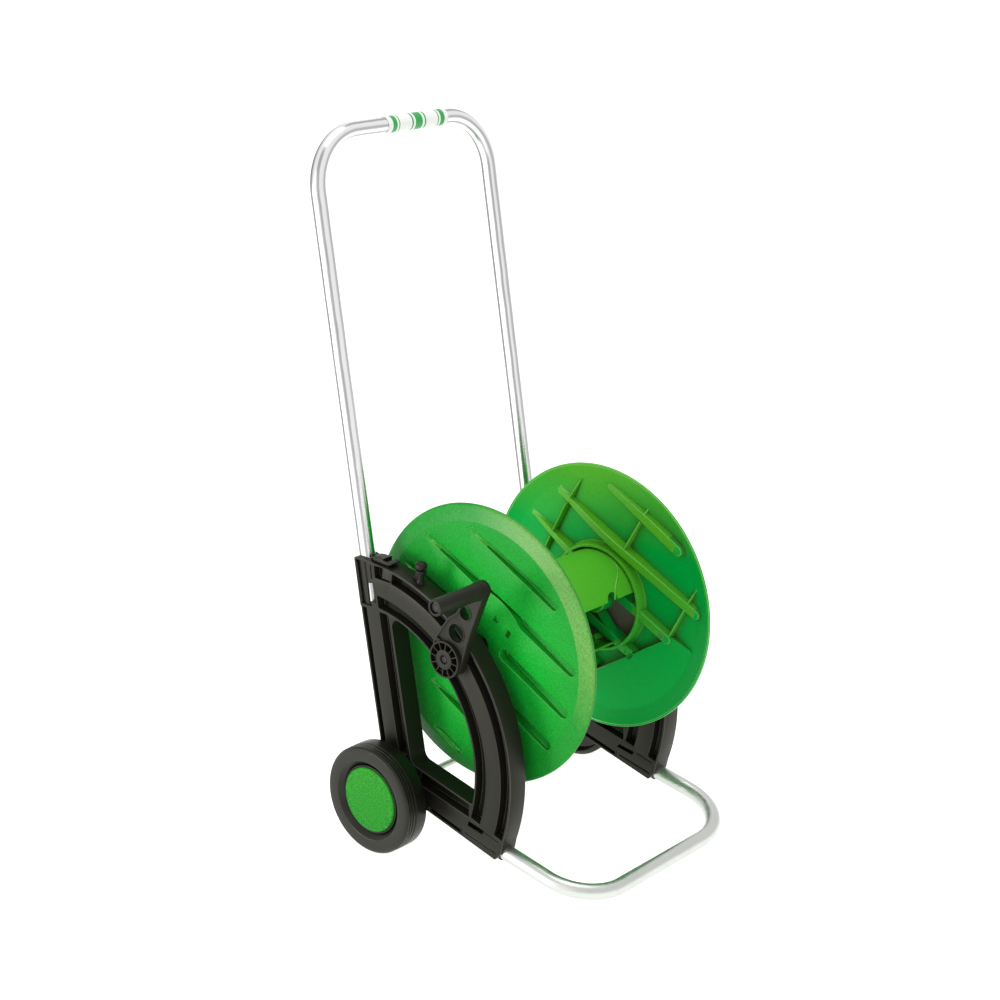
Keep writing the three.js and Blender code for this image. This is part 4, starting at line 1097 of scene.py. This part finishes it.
FAR_BARS = [
    (slot_plan(-60, 76, 126.4, 141.4, 9.0), deepening(-60, 76, 10.0, 77, 10.0, 2.5, 1.0)),
    (slot_plan(-121, 134, 72.2, 86.3, 10.0, n=60), deepening(-121, -8, 13.2, 134, 6.4)),
    (slot_plan(-141, 118, 18.2, 32.2, 7.5, n=60), deepening(-141, -50, 13.2, 400, 6.0)),
    (slot_plan(-140, 84, -36.2, -21.8, 8.0, n=50), deepening(-140, -50, 13.2, 400, 8.0)),
    (slot_plan(-120, 44, -89.8, -75.8, 8.0, n=40), deepening(-120, -20, 12.6, 400, 8.0)),
]


def panel_height(r):
    return SKIN + 13.2 * max(0.0, (150.0 - r) / 67.0) ** 0.8


def flange_right():
    k = 1
    ob = plate(k).object("drum_disc_right", GREEN)
    cut(ob, panel(k, 82.5, 149.6, 31.6, panel_height, lambda r: 1.6, 0.7), "UNION")
    for plan, h in FAR_BARS:
        cut(ob, ridge(plan, k * (FACE - SKIN), -k, h), "UNION")
    cut(ob, collar(k), "UNION")
    ribs = [
        cross_rib(k, -96, 84, 121, 9.0, 0.3), cross_rib(k, -97, 30.0, 74.5, 8.6, 8.6),
        cross_rib(k, 4.5, 84, 128, 11.5, 6.0), cross_rib(k, 4.5, 139, 147, 5.4, 0.3),
        cross_rib(k, 111, 84, 113, 7.4, 0.3), cross_rib(k, 111, 26.0, 74.5, 9.2, 7.0),
        cross_rib(k, -97, -24.0, 20.0, 8.6, 8.6), cross_rib(k, -97, -78.0, -34.0, 7.0, 8.6),
    ]
    for r_ in ribs:
        cut(ob, r_, "UNION")
    # brace inside the collar and the hub
    brace = so_prism([(6, -13.5), (55, -32.5), (57.5, -26.0), (9, -6.5)], 100.4, 113.0)
    cut(ob, brace, "UNION")
    hub = lathe_x([(113.0, 0), (113.0, 19.0), (96.0, 18.4), (95.3, 17.6), (94.8, 16.8), (94.6, 0)], 0, DRUM_Z, 64, False)
    cut(ob, hub, "UNION")
    # hollows behind the relief, open to the outside
    hollow = []
    for plan, h in FAR_BARS:
        pts, n, ends = plan
        slim = [tuple(p) for p in offset(np.array(pts), -1.6)]
        hollow.append(groove((slim, n, ends), k * FACE, -k, lambda s, h=h: max(0.8, h(s) + 0.4), 0.6, 0.6, 0.8))
    for h in hollow:
        cut(ob, h)
    cut(ob, panel(k, 84.8, 146.5, 28.0, lambda r: panel_height(r) - 2.4, lambda r: -1.5, 0.0))
    wins = [
        window(12.0, (-21.3, 17.8), 62.2, 20.5, k), window(-12.0, (-21.3, 17.8), 62.2, 20.5, k),
        window(0.6, (33.4, 58.0), 62.2, 20.5, k), window(-0.6, (33.4, 58.0), 62.2, 20.5, k),
        window(0.6, (-58.0, -37.4), 62.2, 20.5, k), window(-0.6, (-58.0, -37.4), 62.2, 20.5, k),
    ]
    for w in wins:
        cut(ob, w)
    cut(ob, join([so_box(70.5, 81.0, -33.6, -24.4, 95, 118), so_box(98.6, 105.4, 21.4, 29.0, 95, 118)]))
    cut(ob, lathe_x([(92, 0), (92, 12.4), (118, 12.4), (118, 0)], 0, DRUM_Z, 64, False))
    holes = [cylinder_between((109, y, z), (118, y, z), 2.2, 20) for y, z in CORE_SCREWS]
    cut(ob, join(holes))
    smooth(ob)
    # painted light: the far disc takes its green with painted light and shade, then the painted edge and ridge
    # highlights
    ob.data.materials.clear()
    ob.data.materials.append(GREEN_FAR_LIT_SHADED)
    painted_highlight_looks(ob, GREEN_EDGE_HIGHLIGHT, GREEN_EDGE_HIGHLIGHT, 160.0, 0.93, GREEN_RIDGE_LIT)
    return show(ob, "drum", "flange_right")


def round_core(deg, r):
    return (-r * math.cos(math.radians(deg)), DRUM_Z + r * math.sin(math.radians(deg)))


CORE_SCREWS = [round_core(a, 51.0) for a in (70, 150, 225, 275)]
flange_left()
flange_right()


# ---------------------------------------------------------------- drum core
def core_shell(name, a0, a1, screws, bead):
    """Half shell: a ring section between two angles, swept along the axle."""
    b = Build()
    n = int((a1 - a0) / 2.5)
    ro, ri, e = 62.0, 59.0, 0.8
    outer = [(a0 + (a1 - a0) * i / n) for i in range(n + 1)]
    deg = lambda mm, r: math.degrees(mm / r)

    def section(dr):
        pts = [(outer[0], ri + e, 0)]
        sec = []
        sec += [(outer[0] + deg(e, ri), ri), (outer[0] + deg(e * 0.3, ri), ri + e * 0.3), (outer[0], ri + e), (outer[0], ro - e), (outer[0] + deg(e * 0.3, ro), ro - e * 0.3 + dr * 0.5), (outer[0] + deg(e, ro), ro + dr)]
        sec += [(a, ro + dr) for a in outer[1:-1]]
        sec += [(outer[-1] - deg(e, ro), ro + dr), (outer[-1] - deg(e * 0.3, ro), ro - e * 0.3 + dr * 0.5), (outer[-1], ro - e), (outer[-1], ri + e), (outer[-1] - deg(e * 0.3, ri), ri + e * 0.3), (outer[-1] - deg(e, ri), ri)]
        sec += [(a, ri) for a in reversed(outer[1:-1])]
        return sec

    xs = [(-111.3, -0.4), (-110.9, 0.0), (-60, 0.0)]
    if bead:
        xs += [(66.5, 0.0), (68.2, 0.1), (69.2, 0.5), (70.0, 0.75), (70.8, 0.5), (71.8, 0.1), (73.5, 0.0)]
    xs += [(110.9, 0.0), (111.3, -0.4)]
    rings = []
    for x, dr in xs:
        rings.append(b.ring([(x,) + round_core(a, r) for a, r in section(dr)]))
    for r0, r1 in zip(rings, rings[1:]):
        b.bridge(r0, r1)
    m_ = len(rings[0])
    for rg in (rings[0], rings[-1]):
        # end faces as strips between the outer and inner lines
        sec = rg
        half = m_ // 2
        k0 = 6 + len(outer) - 2
        top = sec[3:k0 + 3]
        bot = [sec[2], sec[1], sec[0]] + list(reversed(sec[k0 + 3:]))
        nn = min(len(top), len(bot))
        for i in range(nn - 1):
            b.face((top[i], top[i + 1], bot[i + 1], bot[i]))
    ob = b.object(name + "_moulding", GREEN)
    posts = []
    for i in screws:
        y, z = CORE_SCREWS[i]
        d = np.array([y, z - DRUM_Z]) / math.hypot(y, z - DRUM_Z)
        t = np.array([-d[1], d[0]]) * 1.2
        q = np.array([y, z]) + d * 8.9
        c = np.array([y, z])
        posts.append(cylinder_between((91.5, y, z), (111.3, y, z), 4.6, 32))
        posts.append(prism(ccw([c + t, c - t, q - t, q + t]), 91.5, 111.3))
    for pt in posts:
        boolean(ob, pt.object("tool", GREEN), "UNION")
    for i in screws:
        y, z = CORE_SCREWS[i]
        boolean(ob, cylinder_between((93, y, z), (113, y, z), 1.9, 20).object("tool", GREEN), "DIFFERENCE")
    # the shell's end straddles the disc's bars
    bars = []
    for plan, h in FAR_BARS[2:4]:
        pts, nn, ends = plan
        wide = [tuple(p) for p in offset(np.array(pts), 0.5)]
        bars.append(relief((wide, nn, ends), 111.9, -1, h, [(0, 0, -1.0), (0, 1, 0.5)]))
    boolean(ob, join(bars).object("tool", GREEN), "DIFFERENCE")
    return ob


ob = core_shell("core_shell_upper", 19.0, 198.6, (0, 1), False)
# a thin raised line along the crease of the upper shell, in the painted-highlight edge green
crease = [(66.0, 19.6), (70.0, 27.0), (74.7, 32.8), (80.5, 37.6), (86.4, 42.4), (91.4, 46.9), (95.8, 51.4), (98.6, 56.4), (99.7, 60.9), (100.3, 66.9), (100.0, 74.2)]
spine = [Vector((x,) + tuple(round_core(a, 61.75))) for x, a in crease]
line = Build()
rings_ = []
for i, c in enumerate(spine):
    t = (spine[min(i + 1, len(spine) - 1)] - spine[max(i - 1, 0)]).normalized()
    u_ = t.cross(Vector((1, 0, 0))).normalized()
    w_ = t.cross(u_)
    rr = 1.15 if 0 < i < 5 else (1.1, 1.0, 0.9, 0.7, 0.6, 0.5, 0.4)[max(0, i - 4)]
    rings_.append(line.ring([c + rr * (math.cos(2 * math.pi * k / 16) * u_ + math.sin(2 * math.pi * k / 16) * w_) for k in range(16)]))
for r0, r1 in zip(rings_, rings_[1:]):
    line.bridge(r0, r1)
line.face(list(reversed(rings_[0])))
line.face(list(rings_[-1]))
show(line.object("core_shell_crease", GREEN_EDGE_HIGHLIGHT), "drum", None)
boolean(ob, cylinder_between((63, -72, DRUM_Z + 20.2), (63, -44, DRUM_Z + 20.2), 10.0, 64).object("tool", GREEN), "DIFFERENCE")
boolean(ob, cylinder_between((101.5, -72, DRUM_Z + 24.5), (101.5, -44, DRUM_Z + 24.5), 1.3, 16).object("tool", GREEN), "DIFFERENCE")
smooth(ob)
ob.data.materials.clear()
ob.data.materials.append(GREEN_CORE)
# the shell's end is notched over the near disc's ridges
cut(ob, join(LEFT_RIDGES))
show(ob, "drum", "core_shell_upper")
ob = core_shell("core_shell_lower", 199.6, 300.0, (2, 3), False)
smooth(ob)
ob.data.materials.clear()
ob.data.materials.append(GREEN_CORE)
cut(ob, join(LEFT_RIDGES))
show(ob, "drum", "core_shell_lower")


# --------------------------------------------------------------------- crank
def lathe_axis(profile, origin, direction, seg=48, closed=True):
    """An (along, r) profile turned about a line through origin."""
    o, d = Vector(origin), Vector(direction).normalized()
    s_ = Vector((1, 0, 0)) if abs(d.x) < 0.9 else Vector((0, 1, 0))
    n = d.cross(s_).normalized()
    s_ = n.cross(d).normalized()
    b = lathe_x(profile, 0, 0, seg, closed)
    return b.moved(lambda t, u, v: tuple(o + d * t + s_ * u + n * v))


def block(x0, x1, y0, y1, z0, z1):
    return prism([(y0, z0), (y1, z0), (y1, z1), (y0, z1)], x0, x1)


def slab(loop, x0, x1, r=0.5):
    """A plate with rounded edges between x0 and x1 from a (y, z) loop."""
    b = Build()
    mid = (x0 + x1) / 2
    a, c = sweep_loop(b, loop, [(-d, t) for d, t in quarter(r)] + [(0, abs(mid - x0))], x0, 1 if x1 > x0 else -1)
    e, g = sweep_loop(b, loop, [(-d, t) for d, t in quarter(r)] + [(0, abs(x1 - mid))], x1, -1 if x1 > x0 else 1)
    b.fill(a, [])
    b.fill(e, [])
    return b


def ring_loop(cy, cz, r, n=64):
    return np.array([(cy + r * math.cos(2 * math.pi * k / n), cz + r * math.sin(2 * math.pi * k / n)) for k in range(n)])


GRIP_Y, GRIP_Z = -107 * math.sin(math.radians(27.6)), DRUM_Z + 107 * math.cos(math.radians(27.6))


def crank_arm():
    out = [(20, 286, 2.5), (21.5, 266, 9), (12, 247.5, 9), (-9, 245, 9), (-20.5, 255, 8), (-25.5, 268, 4), (-31, 286, 0), (-38.6, 307.5, 0), (-46.5, 326.5, 0), (-54.5, 347, 3)]
    out += [(GRIP_Y + 10.9 * math.cos(math.radians(a)), GRIP_Z + 10.9 * math.sin(math.radians(a)), 0) for a in range(186, 34, -8)]
    out += [(-16, 326.5, 4), (-4, 318, 5), (6, 305, 5)]
    loop = rounded(out, 2.0)
    b = Build()
    xf, xb = -172.0, -161.0
    q = quarter(0.7)
    a, c = sweep_loop(b, loop, [(-d, t) for d, t in q] + [(0, 5.5)], xf, 1)
    e, g = sweep_loop(b, loop, [(-d, t) for d, t in q] + [(0, 5.5)], xb, -1)
    # raised border, floor 1 mm lower
    inner = offset(loop, -2.9)
    f0, f1 = sweep_loop(b, inner, [(0.25, 0), (0.05, 0.1), (0, 0.3), (-0.1, 0.9), (-0.3, 1.0)], xf, 1)
    b.fill(a, [f0])
    rims, backs = [], []
    for cy, cz, r in ((-15.5, 301, 11.2), (-29.5, 328.5, 8.0)):
        lp = ring_loop(cy, cz, r)
        # a low lip round the hole, then its wall
        h0, h1 = sweep_loop(b, lp, [(1.5, 1.0), (1.35, 0.5), (1.1, 0.35), (0.5, 0.35), (0.1, 0.5), (0, 0.8), (0, 10.6), (0.4, 11.0)], xf, 1)
        rims.append(h0)
        backs.append(h1)
    lp = ring_loop(0, DRUM_Z, 21.4, 96)
    h0, h1 = sweep_loop(b, lp, [(0, 1.0), (0, 11.0)], xf, 1)
    rims.append(h0)
    backs.append(h1)
    b.fill(f1, rims)
    b.fill(e, backs)
    ob = b.object("crank_plate", BLACK)
    hub = lathe_x(soften([(-173.2, 0), (-173.2, 5.2, 0.3), (-176, 5.6, 0.4), (-176, 11.9, 0.5), (-168.2, 12.4, 0.4), (-168.2, 20.0, 0.4), (-176, 20.3, 0.4), (-176, 22.5, 0.6),
                          (-161, 22.7, 0.5), (-161, 12.5, 0.3), (-117, 12.5, 0.6), (-117, 0)], 0.4, closed=False), 0, DRUM_Z, 96, False)
    cut(ob, hub, "UNION")
    ribs = []
    for k in range(12):
        a_ = math.radians(30 * k + 8)
        t = np.array([-math.sin(a_), math.cos(a_)]) * 0.6
        d = np.array([math.cos(a_), math.sin(a_)])
        c0 = np.array([0, DRUM_Z])
        ribs.append(prism(ccw([c0 + d * 11.3 - t, c0 + d * 20.8 - t, c0 + d * 20.8 + t, c0 + d * 11.3 + t]), -175.7, -167.8))
    show(join(ribs).object("crank_hub_ribs", BLACK), "drum", None)
    cut(ob, block(-119, -96, -9, 9, DRUM_Z - 9, DRUM_Z + 9), "UNION")
    tri = join([prism(ccw([(13.5, 290.0), (6.4, 287.9), (17.6, 285.4)]), -174, -166.5), prism(ccw([(-18.4, 274.2), (-22.6, 269.4), (-18.8, 263.4)]), -174, -166.5)])
    cut(ob, tri)
    smooth(ob)
    # painted shade: the pockets of the hub get the darker recess black, also rougher and less glossy
    me = ob.data
    me.materials.append(BLACK_RECESS_SHADE)
    for poly in me.polygons:
        y = poly.center.y * 1000.0 - SHIFT[1]
        z = poly.center.z * 1000.0 - DRUM_Z
        if 12.0 < math.hypot(y, z) < 20.4 and -175.4 < poly.center.x * 1000.0 - SHIFT[0] < -167.0:
            poly.material_index = 1
    return show(ob, "drum", "crank_arm")


crank_arm()
a_, b_ = -172.4, -243.0
grip_prof = [(a_, 4.3), (a_, 10.9, 0.5), (a_ - 5, 10.5, 4), (a_ - 12, 10.0, 6), (b_ + 1.2, 10.0, 0.9), (b_, 9.2, 0.5), (b_, 6.9, 0.4), (b_ + 4, 6.6, 0.4), (b_ + 4, 4.3)]
show(lathe_x(soften(grip_prof, 0.3, 4), GRIP_Y, GRIP_Z, 72).object("crank_grip_turning", BLACK), "crank_grip", "crank_grip")
pin = [(-163.8, 0), (-163.8, 4), (b_ + 3.7, 4), (b_ + 3.7, 6.3, 0.3), (b_ + 2.5, 6.3, 0.5), (b_ + 2.2, 4.4, 0.4), (b_ + 3.0, 3.0, 0.3), (b_ + 3.0, 0)]
show(lathe_x(soften(pin, 0.2, closed=False), GRIP_Y, GRIP_Z, 48, False).object("grip_pin_riveted", BLACKENED), "drum", "grip_pin")


def screw_head(r, h, recess, shank_r, length):
    """(along, r) profile of a pan head with a shallow socket; 0 is the seat, the head stands to minus."""
    return soften([(-h + recess, 0), (-h + recess, r * 0.42, 0.1), (-h, r * 0.52, 0.1), (-h, r * 0.7, r * 0.3), (-h * 0.35, r, 0.3), (0, r, 0.1), (0, shank_r, 0.1), (length, shank_r, 0.3), (length, 0)], 0.1, 3, closed=False)


show(lathe_axis(screw_head(4.6, 1.9, 1.0, 2.0, 22.0), (-173.7, 0, DRUM_Z), (1, 0, 0), 40, False).object("crank_screw_pan", BLACKENED), "drum", "crank_screw")
for i, (y, z) in enumerate(CORE_SCREWS):
    show(lathe_axis(screw_head(4.0, 2.3, 1.2, 1.6, 15.0), (FACE + 0.3, y, z), (-1, 0, 0), 36, False).object("core_screw_%d_pan" % (i + 1), ZINC), "drum", "core_screw_%d" % (i + 1))

# ------------------------------------------------------------- pegs and clips
for side in (-1, 1):
    tag = "right" if side > 0 else "left"
    prof = soften([(-3.0, 0), (-3.0, 6.0), (1.2, 5.0, 1.0), (4.2, 3.9, 2.0), (11.2, 3.8, 0.4), (12.0, 6.6, 0.3), (15.6, 6.8, 0.5), (16.0, 3.2, 0.3), (18.6, 3.2, 0.3), (19.0, 7.3, 0.6), (23.4, 7.2, 1.4), (25.6, 4.6, 1.6), (26.2, 0)], 0.3, 4, closed=False)
    d = Vector((0, -math.sin(math.radians(4.6)), math.cos(math.radians(4.6))))
    ob = lathe_axis(prof, (side * FRAME_MID, 63.6, 337.4), d, 48, False).object("nozzle_peg_" + tag + "_stem", BLACK)
    g = slab(rounded([(60, 330), (80, 330), (77.8, 337.2, 1.5), (66.5, 350.5, 1.0), (61, 350.5)], 0.5), side * FRAME_MID - 2.0, side * FRAME_MID + 2.0, 0.5)
    cut(ob, g, "UNION")
    t = cylinder_between((side * (FRAME_MID - 14), AY, AZC), (side * (FRAME_MID + 14), AY, AZC), ARCH_R + 0.4, 512)
    cut(ob, t)
    smooth(ob)
    show(ob, "cart", "nozzle_peg_" + tag)
    x0, x1 = (-155.0, -138.4) if side < 0 else (138.4, 155.0)
    body = slab(rounded([(136.8, 351.2, 0.6), (136.4, 354.6, 1.5), (130, 355.6, 4), (117, 355.6, 1.0), (115.6, 353.4, 0.5), (103.2, 352.7, 1.0), (102.2, 351.0, 0.8), (107.2, 349.8, 0.6), (107.2, 348.2, 0.3), (127.2, 350.0, 0.3)], 0.5), x0, x1, 0.8)
    ob = body.object("hose_clip_" + tag + "_body", BLACK)
    xm0, xm1 = (-153.2, -140.4) if side < 0 else (140.4, 153.2)
    cut(ob, block(xm0, xm1 + 6, 110.8, 117.6, 350.4, 358) if side < 0 else block(xm0 - 6, xm1, 110.8, 117.6, 350.4, 358))
    smooth(ob)
    show(ob, "cart", "hose_clip_" + tag)

# -------------------------------------------------------------- handle sleeve
TOP_Y, TOP_Z = 228.0, 841.3
s0, s1 = -28.9, 73.9
mid = (s0 + s1) / 2
marks = [(s0 + 7, s0 + 14), (s0 + 17, s0 + 18.6), (mid - 12, mid - 9.5), (mid - 6, mid + 6), (mid + 9.5, mid + 12), (s1 - 18.6, s1 - 17), (s1 - 14, s1 - 7)]
cutpts = sorted({s0 + 1.0, s1 - 1.0} | {v for mk in marks for v in mk})
prof = [(s0, 9.75), (s0, 10.05), (s0 + 0.08, 10.18), (s0 + 0.25, 10.27), (s0 + 0.5, 10.3)]
prof += [(x, 10.3) for x in cutpts]
prof += [(s1 - 0.5, 10.3), (s1 - 0.25, 10.27), (s1 - 0.08, 10.18), (s1, 10.05), (s1, 9.75)]
sleeve = lathe_x(prof, TOP_Y, TOP_Z, 96)
for i, f in enumerate(sleeve.f):
    xm = sum(sleeve.v[k][0] for k in f) / len(f)
    rm = math.hypot(sleeve.v[f[0]][1] - TOP_Y, sleeve.v[f[0]][2] - TOP_Z)
    if rm > 10.0 and any(m0 < xm < m1 for m0, m1 in marks):
        sleeve.m[i] = 1
show(sleeve.object("handle_sleeve_banded", [SLEEVE, SLEEVE_GREEN]), "cart", "handle_sleeve")

# -------------------------------------------------------- water way and bearings
f_ = FO
fit = soften([(f_ - 22, 5), (f_ + 34, 5, 0.3), (f_ + 34, 8.6, 0.3), (f_ + 24, 9.4, 0.3), (f_ + 24, 12.4, 0.4), (f_ + 22, 12.4, 0.4), (f_ + 22, 9.4, 0.4), (f_ + 10, 9.4, 1.0), (f_ + 10, 16, 0.6),
              (f_ + 6.4, 16, 0.4), (f_ + 6.4, 13, 0.2), (f_ + 4.2, 13, 0.2), (f_ + 4.2, 16, 0.4), (f_ + 0.4, 16, 0.3), (f_ + 0.4, 7.6), (f_ - 10, 7.6), (f_ - 10, 6.3), (f_ - 12.6, 6.3), (f_ - 12.6, 7.6), (f_ - 22, 7.6, 0.5)], 0.1)
show(lathe_x(fit, 0, DRUM_Z, 72).object("inlet_fitting_turned", DARK), "cart", "inlet_fitting")
show(lathe_x([(f_ - 11.3 + 1.05 * math.cos(t), 7.0 * 1.0 + 0.72 * math.sin(t)) for t in [2 * math.pi * k / 12 for k in range(12)]], 0, DRUM_Z, 64).object("inlet_oring_round", RUBBER), "cart", "inlet_oring")
fork = [(22, DRUM_Z + 22, 3), (-22, DRUM_Z + 22, 3), (-22, DRUM_Z - 14, 1.5), (-13.6, DRUM_Z - 14, 1.0)] + [(13.6 * math.cos(math.radians(a)), DRUM_Z + 13.6 * math.sin(math.radians(a)), 0) for a in range(180, -1, -6)] + [(13.6, DRUM_Z - 14, 1.0), (22, DRUM_Z - 14, 1.5)]
show(slab(rounded(fork, 1.0), f_ + 4.5, f_ + 6.1, 0.3).object("inlet_clip_fork", NYLON), "cart", "inlet_clip")
for side, bore in ((-1, 12.8), (1, 12.3)):
    tag = "right" if side > 0 else "left"
    bush = soften([(side * FO, bore, 0.4), (side * 131.2, bore, 0.3), (side * 131.2, 20, 0.3), (side * 132.9, 20, 0.3), (side * 132.9, 17, 0.2), (side * FO, 17, 0.2)], 0.2)
    show(lathe_x(bush, 0, DRUM_Z, 72).object("drum_bush_%s_turned" % tag, NYLON), "cart", "drum_bush_" + tag)
    sp = soften([(side * 171, 4.3, 0.3), (side * 160.5, 4.3, 0.3), (side * 160.5, 10, 0.6), (side * 171, 10, 0.6)], 0.3)
    show(lathe_x(sp, AXLE_Y, AXLE_Z, 56).object("wheel_spacer_%s_turned" % tag, DARK), "cart", "wheel_spacer_" + tag)
axle = soften([(-200, 0), (-200, 3.2, 0.2), (-199, 4.0, 0.4), (199, 4.0, 0.4), (200, 3.2, 0.2), (200, 0)], 0.2, closed=False)
show(lathe_x(axle, AXLE_Y, AXLE_Z, 48, False).object("wheel_axle_rod", ZINC), "cart", "wheel_axle")

out_ = Vector((0, -math.cos(math.radians(-20)), math.sin(math.radians(-20))))
at_ = lambda t: Vector((12, 0, DRUM_Z)) + out_ * t
ob = lathe_x(soften([(0, 0), (0, 12, 1.0), (118.2, 12, 0.3), (118.2, 66, 0.5), (120.7, 66, 0.5), (120.7, 12, 0.3), (159, 12, 0.5), (159, 0)], 0.3, closed=False), 0, DRUM_Z, 96, False).object("water_spindle_moulding", SPINDLE)
cut(ob, lathe_axis(soften([(0, 0), (0, 8), (38, 8, 0.6), (38, 0)], 0.3, closed=False), (12, 0, DRUM_Z), out_, 56, False), "UNION")
cut(ob, cylinder_between((6, 0, DRUM_Z), (161, 0, DRUM_Z), 8.0, 56))
cut(ob, cylinder_between(at_(4), at_(40), 5.5, 40))
smooth(ob)
show(ob, "drum", "water_spindle")
hexa = lathe_axis([(25, 8.3), (25, 12.0), (26, 13.0), (35, 13.0), (36, 12.0), (36, 8.3)], (12, 0, DRUM_Z), out_, 6)
ob = hexa.object("outlet_nut_hex", BLACK, 20.0)
show(ob, "drum", "outlet_nut")

# ------------------------------------------------- finish of the other nodes
for name, ob in NODES.items():
    look = SLOT_LOOK.get(SLOT_OF[name])
    if look is not None:
        ob.data.materials.clear()
        ob.data.materials.append(look)
    if not ob.hide_render:
        ob.data.shade_smooth()
        ob.data.set_sharp_from_angle(angle=math.radians(32))

# ------------------------------------------------------------------ stage
floor_me = bpy.data.meshes.new("floor")
fx0, fx1, fy0, fy1 = -5.0, 22.0, -3.2, 22.0
floor_me.from_pydata([(fx0, fy0, 0), (fx1, fy0, 0), (fx1, fy1, 0), (fx0, fy1, 0)], [], [(0, 1, 2, 3)])
floor = bpy.data.objects.new("floor", floor_me)
bpy.context.scene.collection.objects.link(floor)
fmat, nt, bsdf = new_material("floor_look")
bsdf.inputs["Base Color"].default_value = (0.5, 0.5, 0.5, 1.0)
bsdf.inputs["Roughness"].default_value = 0.95
bsdf.inputs["Specular IOR Level"].default_value = 0.0
bsdf.inputs["Emission Color"].default_value = (1.0, 0.99, 0.965, 1.0)
bsdf.inputs["Emission Strength"].default_value = 0.92
floor_me.materials.append(fmat)

world = bpy.data.worlds.new("world")
bpy.context.scene.world = world
world.use_nodes = True
wn = world.node_tree
bg = wn.nodes["Background"]
bg.inputs["Color"].default_value = (1.0, 0.99, 0.96, 1.0)
bg.inputs["Strength"].default_value = 0.86


def area(name, at, look, size, power, size_y=None, spread=180, tint=(1.0, 1.0, 1.0)):
    d = bpy.data.lights.new(name, "AREA")
    d.energy = power
    d.size = size
    d.color = tint
    d.spread = math.radians(spread)
    if size_y:
        d.shape = "RECTANGLE"
        d.size_y = size_y
    o = bpy.data.objects.new(name, d)
    bpy.context.scene.collection.objects.link(o)
    o.location = Vector(at)
    o.rotation_euler = (Vector(look) - Vector(at)).to_track_quat("-Z", "Y").to_euler()
    return o


area("key_left", (-2.5, -0.35, 1.35), (0, 0, 0.3), 2.2, 6, 1.7, tint=(1.0, 0.985, 0.95))
area("sheen_left", (-2.30, 1.22, 0.41), (0, 0, 0.3), 0.95, 34, 0.78)
area("top", (0.1, 0.0, 2.6), (0, 0, 0.3), 1.2, 18, 1.2)
